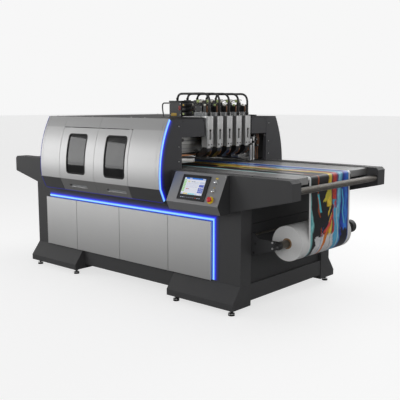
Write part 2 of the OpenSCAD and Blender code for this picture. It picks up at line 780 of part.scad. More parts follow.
module touch_screen() color(black) on_face(screen_u, screen_v) {
    translate([-screen_w / 2, -screen_h / 2, 0]) cube([screen_w, screen_h, 5]);
    translate([-screen_w / 2 + 9, -screen_h / 2 + 9, -22])
        cube([screen_w - 18, screen_h - 18, 22]);
}

module push_button(v) color([0.85, 0.86, 0.87]) on_face(button_u, v) {
    translate([0, 0, 5]) cylinder(h = 7, r = button_d / 2);
    translate([0, 0, -18]) cylinder(h = 23, r = button_d / 2 - 3);
}

module start_button() push_button(button_v[0]);
module stop_button() push_button(button_v[1]);

module estop_plate() color([0.95, 0.8, 0.1]) on_face(button_u, estop_v) difference() {
    cylinder(h = plate_t, r = 24);
    translate([0, 0, -eps]) cylinder(h = plate_t + 2, r = estop_stem_r + run_gap);
}

module estop_cap() color([0.85, 0.1, 0.1]) on_face(button_u, estop_v) {
    translate([0, 0, plate_t + 9]) cylinder(h = 12, r = 17);
    translate([0, 0, plate_t + 21]) cylinder(h = 5, r1 = 17, r2 = 12);
    translate([0, 0, -22]) cylinder(h = plate_t + 32, r = estop_stem_r);
}

// ---- web and rolls ----

function arc(cx, cz, r, a0, a1, n) = [for (k = [0:n]) let (a = a0 + (a1 - a0) * k / n)
    [cx + r * cos(a), cz + r * sin(a)]];

// The web's way from the nearly empty roll over the bed to the full roll
function web_path(off) = concat([[spent_x - spent_r - off, roll_z]],
    arc(-nose_x, nose_z, nose_r + off, 180, 90, 10),
    arc(nose_x, nose_z, nose_r + off, 90, 0, 10),
    arc(roll_x, roll_z, roll_r + off, 0, -110, 22));
function reversed(p) = [for (k = [len(p) - 1:-1:0]) p[k]];

module media_web() color(paper) along_y(web_y - web_w / 2, web_w)
    polygon(concat(web_path(web_gap), reversed(web_path(web_gap + web_t))));

module paper_roll(x, r) color(paper) translate([x, 0, roll_z]) difference() {
    rod_y(roll_y0, roll_l, r);
    rod_y(roll_y0 - eps, roll_l + 2, core_d / 2);
}

module core(x) color([0.55, 0.40, 0.26]) translate([x, 0, roll_z]) difference() {
    rod_y(roll_y0 - 2, roll_l + 4, core_d / 2);
    rod_y(roll_y0 - 3, roll_l + 6, shaft_d / 2);
}

module roll_shaft(x) color([0.5, 0.49, 0.47]) translate([x, 0, roll_z]) {
    rod_y(-arm_y + 4, 2 * arm_y - 8, shaft_d / 2);
    rod_y(-arm_y - arm_t - 2, 2 * (arm_y + arm_t + 2), journal_r);
}

module rewind_roll() paper_roll(roll_x, roll_r);
module rewind_core() core(roll_x);
module rewind_shaft() roll_shaft(roll_x);
module unwind_roll() paper_roll(spent_x, spent_r);
module unwind_core() core(spent_x);
module unwind_shaft() roll_shaft(spent_x);

// Tapered arm from the end panel to the shaft's journal
module roll_arm(x, base_x) {
    dir = sign(x);
    difference() {
        union() {
            along_y(-arm_y - arm_t, arm_t) union() {
                polygon([[base_x, roll_z + 54], [base_x, roll_z - 98],
                         [base_x + dir * 24, roll_z - 98], [x, roll_z - 24], [x, roll_z + 24],
                         [base_x + dir * 70, roll_z + 24], [base_x + dir * 40, roll_z + 54]]);
                translate([x, roll_z]) circle(24);
            }
            box([min(base_x, base_x + dir * 8), -arm_y - 1, roll_z - 98],
                [max(base_x, base_x + dir * 8), -arm_y + 46, roll_z + 24]);
        }
        translate([x, 0, roll_z]) rod_y(-arm_y - arm_t - eps, arm_t + 4, journal_r + run_gap);
    }
}

module roll_brackets() color([0.16, 0.17, 0.18]) {
    both_sides() {
        roll_arm(roll_x, body_x1 - panel_recess);
        roll_arm(spent_x, body_x0 + panel_recess);
    }
    // Brake and drive drums outside the far arms
    for (x = [roll_x, spent_x]) translate([x, 0, roll_z]) difference() {
        rod_y(arm_y + arm_t, 46, min(46, spent_r - 10));
        rod_y(arm_y + arm_t - eps, 10, journal_r + 4);
    }
}

module nose_roller(x) color([0.55, 0.55, 0.56]) translate([x, 0, nose_z]) {
    rod_y(web_y - nose_l / 2, nose_l, nose_r);
    rod_y(web_y - nose_l / 2 - 15, nose_l + 30, nose_axle_r);
}

module outfeed_roller() nose_roller(nose_x);
module infeed_roller() nose_roller(-nose_x);

// ---- inside the cabinet ----

module vacuum_blower() color([0.3, 0.32, 0.34]) translate([door_left[2] + 230, 60, floor_z]) {
    box([-150, -110, 0], [150, 110, 14]);
    box([-70, -80, 13], [70, 20, 60]);
    translate([0, 0, 150]) rod_y(-90, 110, 130);
    translate([0, 0, 150]) rod_y(20, 160, 80);
    box([60, -80, 150], [130, 10, 340]);
}

module control_cabinet() color([0.75, 0.76, 0.76])
    box([door_left[0] + 60, -half_w + 130, floor_z],
        [door_left[0] + outer_door_w - 60, -half_w + 330, door_z1 - 30]);

module ink_tanks() color([0.85, 0.85, 0.83]) for (k = [0:4])
    translate([door_left[1] + 90 + 70 * k, -half_w + 150, floor_z]) {
        box([0, 0, 0], [60, 180, 220]);
        translate([30, 90, 220]) cylinder(h = 18, r = 16);
    }

// ---- nodes ----

base_frame();
base_shell();
end_panels();
foot_blocks();
levelling_feet();
wing_front();
wing_rear();
table_bed();
edge_rails();
cross_bars();
led_strips();
for (i = DOORS) cabinet_door(i);
hood_skin();
hood_fascia();
hood_top_cover();
hood_back_cover();
hood_end_right();
hood_end_left();
beam_cover();
for (i = LIDS) hood_door(i);
for (i = LIDS) hood_band(i);
for (i = LIDS) hood_window(i);
hinge_pins();
gantry_beam();
bank_bracket();
head_columns();
for (i = HEADS) print_head(i);
lift_motors();
cable_loops();
terminal_box();
console_housing();
touch_screen();
start_button();
stop_button();
estop_plate();
estop_cap();
media_web();
rewind_roll();
rewind_core();
rewind_shaft();
roll_brackets();
unwind_roll();
unwind_core();
unwind_shaft();
outfeed_roller();
infeed_roller();
uv_lamp();
vacuum_blower();
control_cabinet();
ink_tanks();
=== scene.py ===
# %% [markdown]
# # A roll-fed flatbed UV printer
# The machine is a long steel cabinet with two side beams, a curved silver hood, a bank of five
# print heads and a web that runs over the bed from one roll to another. The solid shapes come
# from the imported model, which is loaded as a fixed frame. This file adds the finishes and the
# finer pieces: light strips, cables, connectors, the screen and the printed web.
# Everything is in metres: X along the bed, Y away from the operator, Z up.

# %% Load the frame
import math
import random

import bmesh
import bpy
from mathutils import Matrix, Vector


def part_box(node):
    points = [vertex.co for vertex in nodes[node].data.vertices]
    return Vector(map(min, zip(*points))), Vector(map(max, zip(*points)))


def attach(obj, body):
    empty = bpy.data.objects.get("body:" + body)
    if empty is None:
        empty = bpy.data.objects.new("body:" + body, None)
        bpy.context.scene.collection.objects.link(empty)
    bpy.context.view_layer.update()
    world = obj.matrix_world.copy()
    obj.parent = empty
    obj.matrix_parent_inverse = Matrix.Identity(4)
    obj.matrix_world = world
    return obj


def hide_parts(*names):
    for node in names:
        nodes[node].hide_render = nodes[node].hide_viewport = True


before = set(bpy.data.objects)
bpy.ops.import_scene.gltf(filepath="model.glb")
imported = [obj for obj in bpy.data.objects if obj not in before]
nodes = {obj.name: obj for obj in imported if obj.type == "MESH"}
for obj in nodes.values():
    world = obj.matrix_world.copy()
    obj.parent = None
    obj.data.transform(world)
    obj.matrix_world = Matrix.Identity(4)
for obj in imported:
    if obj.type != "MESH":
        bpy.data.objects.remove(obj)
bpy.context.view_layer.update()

# %% [markdown]
# ## Camera
# The camera stands at the right front corner and looks slightly down. The floor, the lamps and
# the sky come last, because they are tuned to the finishes.

# %% Camera
camera_data = bpy.data.cameras.new("view")
camera_data.lens = 59.1
camera_data.clip_end = 200
camera = bpy.data.objects.new("view", camera_data)
camera.location = (3.5168, -3.7696, 1.358)
camera.rotation_euler = (math.radians(81.58), 0, math.radians(41.52))
bpy.context.scene.collection.objects.link(camera)
bpy.context.scene.camera = camera
print("camera at", tuple(camera.location))


# %% Small helpers for shader nodes
def add(tree, kind, inputs=None, **settings):
    """A node of that kind, with its inputs set to values or linked from sockets."""
    n = tree.nodes.new(kind)
    for key, value in settings.items():
        setattr(n, key, value)
    for key, value in (inputs or {}).items():
        if isinstance(value, bpy.types.NodeSocket):
            tree.links.new(value, n.inputs[key])
        else:
            n.inputs[key].default_value = value
    return n


def math_node(tree, operation, a, b=0.0, c=0.0, clamp=False):
    """The result socket of one Math node."""
    n = add(tree, "ShaderNodeMath", {0: a, 1: b, 2: c}, operation=operation, use_clamp=clamp)
    return n.outputs[0]


def mix_color(tree, fac, a, b, blend="MIX"):
    """The result socket of one Mix node for colours."""
    n = add(tree, "ShaderNodeMix", {0: fac, 6: a, 7: b}, data_type="RGBA", blend_type=blend)
    return n.outputs[2]


def ramp(tree, fac, stops):
    """The colour socket of a Color Ramp with these (place, colour) stops."""
    n = add(tree, "ShaderNodeValToRGB", {0: fac})
    while len(n.color_ramp.elements) < len(stops):
        n.color_ramp.elements.new(1.0)
    for element, (place, color) in zip(n.color_ramp.elements, stops):
        element.position = place
        element.color = color
    return n.outputs[0]


def rgb(r, g=None, b=None):
    """A colour with full alpha; one number makes a grey."""
    return (r, r if g is None else g, r if b is None else b, 1.0)


def remap(tree, value, low, high, to_low=0.0, to_high=1.0):
    """A value stretched from one range to another."""
    stretched = add(tree, "ShaderNodeMapRange", {0: value, 1: low, 2: high, 3: to_low, 4: to_high})
    return stretched.outputs[0]


def noise(tree, inputs, **settings):
    """The value socket of one noise texture."""
    return add(tree, "ShaderNodeTexNoise", inputs, **settings).outputs[0]


def scaled(tree, color, gain):
    """A colour made brighter or darker by a value."""
    gained = add(tree, "ShaderNodeVectorMath", {0: color, "Scale": gain}, operation="SCALE")
    return gained.outputs[0]


def new_material(name):
    """A material with its node tree and its shader."""
    material = bpy.data.materials.new(name)
    material.use_nodes = True
    return material, material.node_tree, material.node_tree.nodes["Principled BSDF"]


print("helpers ready")

# %% [markdown]
# ## Effects shared by many finishes
# Real paint is never one flat colour. Four small node groups are built once and used again:
# worn edges, a fine coat grain, brushed lines and settled dust. A group
# gives out only colours, masks, values and normals. The shader itself stays in each material.


# %% The frame of a group
def new_group(name, takes, gives):
    """A shader node group with named sockets. takes and gives map names to (type, default)."""
    tree = bpy.data.node_groups.new(name, "ShaderNodeTree")
    for direction, sockets in (("INPUT", takes), ("OUTPUT", gives)):
        for socket_name, (kind, default) in sockets.items():
            s = tree.interface.new_socket(
                socket_name, in_out=direction, socket_type="NodeSocket" + kind
            )
            if default is not None:
                s.default_value = default
    return tree, tree.nodes.new("NodeGroupInput"), tree.nodes.new("NodeGroupOutput")


def use_group(tree, group, inputs=None):
    """Places a group in a material's tree."""
    return add(tree, "ShaderNodeGroup", inputs, node_tree=group)


# %% Worn edges
def make_edge_wear():
    """Mask: where a convex edge has been rubbed. Normal: the surface with its edges eased."""
    tree, into, out = new_group(
        "worn_edges",
        {"Radius": ("Float", 0.003), "Amount": ("Float", 0.5), "Scale": ("Float", 40.0)},
        {"Mask": ("Float", None), "Normal": ("Vector", None)},
    )
    eased = add(tree, "ShaderNodeBevel", {"Radius": into.outputs["Radius"]}, samples=4)
    flat = add(tree, "ShaderNodeNewGeometry")
    same = add(
        tree,
        "ShaderNodeVectorMath",
        {0: eased.outputs[0], 1: flat.outputs["Normal"]},
        operation="DOT_PRODUCT",
    )
    turned = math_node(tree, "SUBTRACT", 1.0, same.outputs["Value"])
    edge = math_node(tree, "MULTIPLY", turned, 6.0, clamp=True)
    place = add(tree, "ShaderNodeTexCoord")
    patches = noise(tree, {"Vector": place.outputs["Object"], "Scale": into.outputs["Scale"],
                           "Detail": 4.0})
    patchy = remap(tree, patches, 0.42, 0.62)
    worn = math_node(tree, "MULTIPLY", edge, patchy)
    worn = math_node(tree, "MULTIPLY", worn, into.outputs["Amount"], clamp=True)
    tree.links.new(worn, out.inputs["Mask"])
    tree.links.new(eased.outputs[0], out.inputs["Normal"])
    return tree


WORN_EDGES = make_edge_wear()
print("made", WORN_EDGES.name)


# %% Coat grain
def make_coat_grain():
    """Fine orange peel for bump, with a slow change of tone from sprayed or rolled coats."""
    tree, into, out = new_group(
        "coat_grain",
        {"Color": ("Color", rgb(0.5)), "Scale": ("Float", 900.0), "Tone": ("Float", 0.08)},
        {"Color": ("Color", None), "Height": ("Float", None), "Fine": ("Float", None)},
    )
    place = add(tree, "ShaderNodeTexCoord")
    fine = noise(tree, {"Vector": place.outputs["Object"], "Scale": into.outputs["Scale"],
                        "Detail": 2.0})
    slow = noise(tree, {"Vector": place.outputs["Object"], "Scale": 2.3, "Detail": 3.0,
                        "Roughness": 0.6})
    both = math_node(tree, "MULTIPLY", fine, 0.35)
    both = math_node(tree, "ADD", both, slow)
    centred = math_node(tree, "SUBTRACT", both, 0.67)
    gain = math_node(tree, "MULTIPLY_ADD", centred, into.outputs["Tone"], 1.0)
    toned = scaled(tree, into.outputs["Color"], gain)
    tree.links.new(toned, out.inputs["Color"])
    tree.links.new(fine, out.inputs["Height"])
    tree.links.new(fine, out.inputs["Fine"])
    return tree


COAT_GRAIN = make_coat_grain()
print("made", COAT_GRAIN.name)


# %% Brushed lines
def make_brushed():
    """Long fine scratches: a noise that is stretched along one direction."""
    tree, into, out = new_group(
        "brushed_lines",
        {"Stretch": ("Vector", (4.0, 900.0, 900.0)), "Color": ("Color", rgb(0.6))},
        {"Color": ("Color", None), "Height": ("Float", None)},
    )
    place = add(tree, "ShaderNodeTexCoord")
    stretched = add(
        tree,
        "ShaderNodeVectorMath",
        {0: place.outputs["Object"], 1: into.outputs["Stretch"]},
        operation="MULTIPLY",
    )
    lines = noise(tree, {"Vector": stretched.outputs[0], "Scale": 1.0, "Detail": 3.0})
    gain = remap(tree, lines, 0.3, 0.7, 0.84, 1.1)
    toned = scaled(tree, into.outputs["Color"], gain)
    tree.links.new(toned, out.inputs["Color"])
    tree.links.new(lines, out.inputs["Height"])
    return tree


BRUSHED = make_brushed()
print("made", BRUSHED.name)


# %% Settled dust
def make_dust():
    """Dust lies on faces that look up, thinner where hands and air keep it off."""
    tree, into, out = new_group(
        "settled_dust", {"Amount": ("Float", 0.2)}, {"Mask": ("Float", None)}
    )
    facing = add(tree, "ShaderNodeNewGeometry")
    axes = add(tree, "ShaderNodeSeparateXYZ", {0: facing.outputs["Normal"]})
    up = remap(tree, axes.outputs[2], 0.3, 1.0)
    place = add(tree, "ShaderNodeTexCoord")
    drift = noise(tree, {"Vector": place.outputs["Object"], "Scale": 5.0, "Detail": 8.0,
                         "Roughness": 0.7})
    patch = remap(tree, drift, 0.35, 0.75)
    mask = math_node(tree, "MULTIPLY", up, patch)
    mask = math_node(tree, "MULTIPLY", mask, into.outputs["Amount"], clamp=True)
    tree.links.new(mask, out.inputs["Mask"])
    return tree


DUST = make_dust()
print("made", DUST.name)

# %% [markdown]
# ## Finishes
# Most of the machine is powder coat or satin paint, so one recipe makes them all: grain,
# worn edges, a little dust and a soft clear coat. On the silver hood and doors it also darkens
# the coat by height: painted shade. Bare metals use the brushed lines instead. Each finish is
# named for its piece and holds its own colour, so a repaint is one edit.


# %% Paint recipe
def paint(name, color, worn, rough=0.5, metallic=0.0, wear=0.35, dust=0.12, grain=900.0,
          bump=0.05, radius=0.003, coat=0.0, tone=0.12, specular=0.5, painted_shade=None):
    """A painted or moulded surface; an optional height ramp darkens it as painted shade."""
    material, tree, shader = new_material(name)
    grained = use_group(tree, COAT_GRAIN, {"Color": rgb(*color), "Scale": grain, "Tone": tone})
    # Painted shade: a height ramp darkens the coat where the hood and doors take less light.
    if painted_shade:
        place = add(tree, "ShaderNodeTexCoord")
        level = add(tree, "ShaderNodeSeparateXYZ", {0: place.outputs["Object"]})
        shade = ramp(tree, math_node(tree, "MULTIPLY", level.outputs[2], 0.5), painted_shade)
        coat_with_painted_shade = mix_color(tree, 1.0, rgb(*color), shade, "MULTIPLY")
        tree.links.new(coat_with_painted_shade, grained.inputs["Color"])
    edges = use_group(tree, WORN_EDGES, {"Radius": radius, "Amount": wear})
    settled = use_group(tree, DUST, {"Amount": dust})
    tinted = mix_color(tree, edges.outputs["Mask"], grained.outputs["Color"], rgb(*worn))
    dusty = mix_color(tree, settled.outputs["Mask"], tinted, rgb(0.42, 0.40, 0.37))
    tree.links.new(dusty, shader.inputs["Base Color"])
    roughness = math_node(tree, "MULTIPLY_ADD", grained.outputs["Fine"], 0.14, rough - 0.07)
    roughness = math_node(tree, "MULTIPLY_ADD", settled.outputs["Mask"], 0.3, roughness)
    tree.links.new(roughness, shader.inputs["Roughness"])
    shader.inputs["Metallic"].default_value = metallic
    shader.inputs["Specular IOR Level"].default_value = specular
    shader.inputs["Coat Weight"].default_value = coat
    shader.inputs["Coat Roughness"].default_value = 0.25
    relief = add(
        tree,
        "ShaderNodeBump",
        {"Height": grained.outputs["Height"], "Normal": edges.outputs["Normal"],
         "Strength": bump, "Distance": 0.001},
    )
    tree.links.new(relief.outputs[0], shader.inputs["Normal"])
    return material


# %% Bare metal recipe
def bare_metal(name, color, stretch, rough=0.35, metallic=1.0, bump=0.06, radius=0.002,
               aniso=0.4):
    """A brushed, ground or anodised metal with its lines along one direction."""
    material, tree, shader = new_material(name)
    lines = use_group(tree, BRUSHED, {"Stretch": stretch, "Color": rgb(*color)})
    edges = use_group(tree, WORN_EDGES, {"Radius": radius, "Amount": 0.5})
    brightened = mix_color(tree, edges.outputs["Mask"], lines.outputs["Color"], rgb(0.85))
    tree.links.new(brightened, shader.inputs["Base Color"])
    roughness = math_node(tree, "MULTIPLY_ADD", lines.outputs["Height"], 0.2, rough - 0.1)
    tree.links.new(roughness, shader.inputs["Roughness"])
    shader.inputs["Metallic"].default_value = metallic
    shader.inputs["Anisotropic"].default_value = aniso
    relief = add(
        tree,
        "ShaderNodeBump",
        {"Height": lines.outputs["Height"], "Normal": edges.outputs["Normal"],
         "Strength": bump, "Distance": 0.0005},
    )
    tree.links.new(relief.outputs[0], shader.inputs["Normal"])
    return material


# %% The paints
LONG_X = (3.0, 700.0, 700.0)
LONG_Y = (700.0, 3.0, 700.0)
LONG_Z = (700.0, 700.0, 3.0)
# Painted shade by height: darker hood top band and middle, doors darker towards the bottom.
HOOD_PAINTED_SHADE = [(0.39, rgb(1.0)), (0.44, rgb(1.0)), (0.49, rgb(0.86)), (0.56, rgb(0.90)),
              (0.587, rgb(1.0)), (0.588, rgb(0.82)), (0.627, rgb(1.0))]
DOOR_PAINTED_SHADE = [(0.10, rgb(0.66)), (0.294, rgb(1.0))]
charcoal = paint("charcoal_coat", (0.066, 0.066, 0.068), (0.10, 0.10, 0.105), rough=0.5, dust=0.06,
                 specular=0.35)
slate = paint("slate_coat", (0.056, 0.056, 0.061), (0.10, 0.10, 0.11), rough=0.44, dust=0.05,
              specular=0.35)
end_grey = paint("end_panel_coat", (0.042, 0.0425, 0.044), (0.08, 0.08, 0.08), rough=0.52,
                 dust=0.04, specular=0.3)
console_coat = paint("console_coat", (0.34, 0.34, 0.345), (0.5, 0.5, 0.5), rough=0.4,
                     metallic=0.7, wear=0.6, dust=0.03, grain=1600.0, bump=0.035, tone=0.05)
top_black = paint("top_cover_coat", (0.014, 0.014, 0.015), (0.05, 0.05, 0.05), rough=0.5,
                  dust=0.02, specular=0.25)
silver = paint("silver_coat", (0.62, 0.62, 0.62), (0.75, 0.75, 0.75), rough=0.47,
               metallic=0.75, wear=0.2, dust=0.03, grain=1600.0, bump=0.035, coat=0.10,
               tone=0.05, painted_shade=HOOD_PAINTED_SHADE)
door_silver = paint("door_silver_coat", (0.80, 0.80, 0.795), (0.72, 0.72, 0.72), rough=0.45,
                    metallic=0.7, wear=0.2, dust=0.03, grain=1600.0, bump=0.035, tone=0.05,
                    painted_shade=DOOR_PAINTED_SHADE)
fascia_coat = paint("fascia_coat", (0.074, 0.074, 0.076), (0.14, 0.14, 0.14), rough=0.42, dust=0.03)
band_coat = paint("band_coat", (0.20, 0.198, 0.195), (0.3, 0.3, 0.3), rough=0.42, dust=0.03)
black_plastic = paint("black_plastic", (0.012, 0.012, 0.013), (0.05, 0.05, 0.05), rough=0.42,
                      grain=2600.0, dust=0.06, wear=0.25, radius=0.0015)
satin_black = paint("satin_black", (0.009, 0.009, 0.010), (0.04, 0.04, 0.04), rough=0.3,
                    grain=2600.0, dust=0.03, wear=0.2, radius=0.001, coat=0.2)
machine_grey = paint("machine_grey", (0.30, 0.31, 0.32), (0.5, 0.5, 0.5), rough=0.5)
tank_white = paint("tank_plastic", (0.62, 0.62, 0.58), (0.7, 0.7, 0.68), rough=0.4, wear=0.1)
print("paints ready")

# %% The metals and small colours
bed_alloy = bare_metal("bed_alloy", (0.56, 0.56, 0.56), LONG_X, rough=0.38)
rail_alloy = bare_metal("rail_alloy", (0.72, 0.72, 0.71), LONG_X, rough=0.3)
beam_alloy = bare_metal("beam_alloy", (0.55, 0.545, 0.53), LONG_Y, rough=0.34)
column_alloy = bare_metal("column_alloy", (0.70, 0.70, 0.695), LONG_Z, rough=0.36, metallic=0.85)
bar_steel = bare_metal("bar_steel", (0.15, 0.135, 0.115), LONG_Y, rough=0.36)
bracket_alloy = bare_metal("bracket_alloy", (0.36, 0.36, 0.36), LONG_Y, rough=0.4)
roller_steel = bare_metal("roller_steel", (0.55, 0.55, 0.56), LONG_Y, rough=0.22)
bolt_steel = bare_metal("bolt_steel", (0.62, 0.62, 0.62), (300.0, 300.0, 300.0), rough=0.28,
                        radius=0.0006)
chrome = bare_metal("chrome", (0.82, 0.83, 0.84), (200.0, 200.0, 200.0), rough=0.12,
                    bump=0.01, radius=0.001, aniso=0.0)
copper = bare_metal("copper", (0.72, 0.36, 0.2), LONG_Y, rough=0.35, radius=0.0006)
yellow = paint("yellow_plastic", (0.85, 0.62, 0.02), (0.9, 0.75, 0.3), rough=0.35,
               grain=2000.0, coat=0.3, dust=0.02)
red = paint("red_plastic", (0.78, 0.03, 0.04), (0.8, 0.2, 0.18), rough=0.3, grain=2000.0,
            coat=0.4, dust=0.02)
tag_red = paint("red_tag", (0.33, 0.035, 0.035), (0.4, 0.1, 0.1), rough=0.5, dust=0.02)
tag_yellow = paint("yellow_tag", (0.58, 0.38, 0.06), (0.6, 0.45, 0.2), rough=0.5, dust=0.02)
lime = paint("lime_connector", (0.50, 0.62, 0.22), (0.7, 0.75, 0.5), rough=0.4, dust=0.02)
ivory = paint("ivory_connector", (0.72, 0.70, 0.60), (0.8, 0.8, 0.75), rough=0.4, dust=0.02)
tan_cable = paint("tan_ribbon", (0.22, 0.09, 0.035), (0.3, 0.15, 0.08), rough=0.5, dust=0.02)
rubber = paint("black_rubber", (0.010, 0.010, 0.010), (0.03, 0.03, 0.03), rough=0.7,
               grain=1500.0, dust=0.1, wear=0.1)
print("metals and small colours ready")

# %% [markdown]
# ## Glass, paper and board
# The hood's panes are smoked acrylic, so the shader keeps plain transmission with a dark tint.
# The rolls are film wound on itself: their flat ends show fine rings, which a noise texture
# makes from the distance to the roll's own axis. The core is spiral-wound brown board.

# %% Smoked panes
def make_pane():
    """Dark acrylic with faint wipe marks in its gloss."""
    material, tree, shader = new_material("smoked_pane")
    shader.inputs["Transmission Weight"].default_value = 0.75
    shader.inputs["IOR"].default_value = 1.49
    place = add(tree, "ShaderNodeTexCoord")
    smear = noise(tree, {"Vector": place.outputs["Object"], "Scale": 9.0, "Detail": 6.0,
                         "Distortion": 1.5})
    tint = ramp(tree, smear, [(0.3, rgb(0.045, 0.047, 0.050)), (0.8, rgb(0.08))])
    tree.links.new(tint, shader.inputs["Base Color"])
    rough = remap(tree, smear, 0.3, 0.8, 0.02, 0.1)
    tree.links.new(rough, shader.inputs["Roughness"])
    return material


smoked_pane = make_pane()


# %% Wound rolls and their cores
def wound(name, color, dark, axis_x, axis_z, rings, rough=0.55):
    """Rings round an axis that lies along Y at (axis_x, axis_z)."""
    material, tree, shader = new_material(name)
    place = add(tree, "ShaderNodeTexCoord")
    shifted = add(
        tree,
        "ShaderNodeVectorMath",
        {0: place.outputs["Object"], 1: (-axis_x, 0.0, -axis_z)},
        operation="ADD",
    )
    flat = add(
        tree,
        "ShaderNodeVectorMath",
        {0: shifted.outputs[0], 1: (1.0, 0.0, 1.0)},
        operation="MULTIPLY",
    )
    reach = add(tree, "ShaderNodeVectorMath", {0: flat.outputs[0]}, operation="LENGTH")
    turns = math_node(tree, "MULTIPLY", reach.outputs["Value"], rings)
    ring = noise(tree, {"W": turns, "Scale": 1.0, "Detail": 3.0}, noise_dimensions="1D")
    mottled = noise(tree, {"Vector": place.outputs["Object"], "Scale": 14.0, "Detail": 5.0})
    both = math_node(tree, "MULTIPLY_ADD", mottled, 0.35, ring)
    shade = ramp(tree, both, [(0.35, rgb(*dark)), (0.85, rgb(*color))])
    settled = use_group(tree, DUST, {"Amount": 0.08})
    dusty = mix_color(tree, settled.outputs["Mask"], shade, rgb(0.5, 0.48, 0.45))
    tree.links.new(dusty, shader.inputs["Base Color"])
    spread = math_node(tree, "MULTIPLY_ADD", mottled, 0.2, rough - 0.1)
    tree.links.new(spread, shader.inputs["Roughness"])
    relief = add(tree, "ShaderNodeBump", {"Height": ring, "Strength": 0.12, "Distance": 0.001})
    tree.links.new(relief.outputs[0], shader.inputs["Normal"])
    return material


ROLL_Z = 0.472
FULL_ROLL_X = 1.220
SPENT_ROLL_X = -1.259
full_film = wound("wound_film", (0.86, 0.86, 0.85), (0.70, 0.70, 0.70), FULL_ROLL_X, ROLL_Z, 1500.0)
spent_film = wound("spent_film", (0.86, 0.86, 0.85), (0.70, 0.70, 0.70), SPENT_ROLL_X, ROLL_Z,
                   1500.0)
full_board = wound("core_board", (0.36, 0.22, 0.12), (0.20, 0.12, 0.06), FULL_ROLL_X, ROLL_Z,
                   900.0, rough=0.8)
spent_board = wound("spent_core_board", (0.36, 0.22, 0.12), (0.20, 0.12, 0.06), SPENT_ROLL_X,
                    ROLL_Z, 900.0, rough=0.8)
print("rolls and panes ready")

# %% [markdown]
# ## The solid pieces get their finishes
# Each frame node keeps its shape, so giving it a finish is one line in a table. A node that a
# finer piece will stand for, such as the web or the light strips, is left out here.

# %% Finish table
FINISHES = {
    charcoal: ["base_shell", "foot_blocks", "wing_front", "wing_rear", "hood_back_cover",
               "base_frame"],
    fascia_coat: ["hood_fascia"],
    band_coat: ["hood_band_1", "hood_band_2"],
    slate: ["hood_end_right", "hood_end_left", "beam_cover"],
    end_grey: ["end_panels", "roll_brackets"],
    top_black: ["hood_top_cover"],
    silver: ["hood_skin", "hood_door_1", "hood_door_2"],
    console_coat: ["console_housing"],
    door_silver: ["door_1", "door_2", "door_3", "door_4"],
    bed_alloy: ["table_bed"],
    rail_alloy: ["edge_rails"],
    beam_alloy: ["gantry_beam"],
    bracket_alloy: ["bank_bracket"],
    column_alloy: ["head_columns"],
    bar_steel: ["cross_bars", "rewind_shaft", "unwind_shaft"],
    roller_steel: ["outfeed_roller", "infeed_roller", "hinge_pins"],
    black_plastic: ["touch_screen", "terminal_box", "lift_motors"],
    satin_black: ["print_head_%d" % n for n in range(1, 6)],
    rubber: ["levelling_feet"],
    smoked_pane: ["hood_window_1", "hood_window_2"],
    chrome: ["start_button", "stop_button"],
    yellow: ["estop_plate"],
    red: ["estop_cap"],
    full_film: ["rewind_roll"],
    spent_film: ["unwind_roll"],
    full_board: ["rewind_core"],
    spent_board: ["unwind_core"],
    machine_grey: ["vacuum_blower", "control_cabinet", "uv_lamp"],
    tank_white: ["ink_tanks"],
}
for finish, names in FINISHES.items():
    for name in names:
        nodes[name].data.materials.clear()
        nodes[name].data.materials.append(finish)
print("finishes given to", sum(len(names) for names in FINISHES.values()), "nodes")

# %% [markdown]
# ## A small workshop for fine pieces
# The finer pieces are made in mesh code. One helper collects blocks with eased edges, turned
# rods and swept tubes into a single mesh, so a whole group of bolts or connectors is one piece
# that rides on one body.


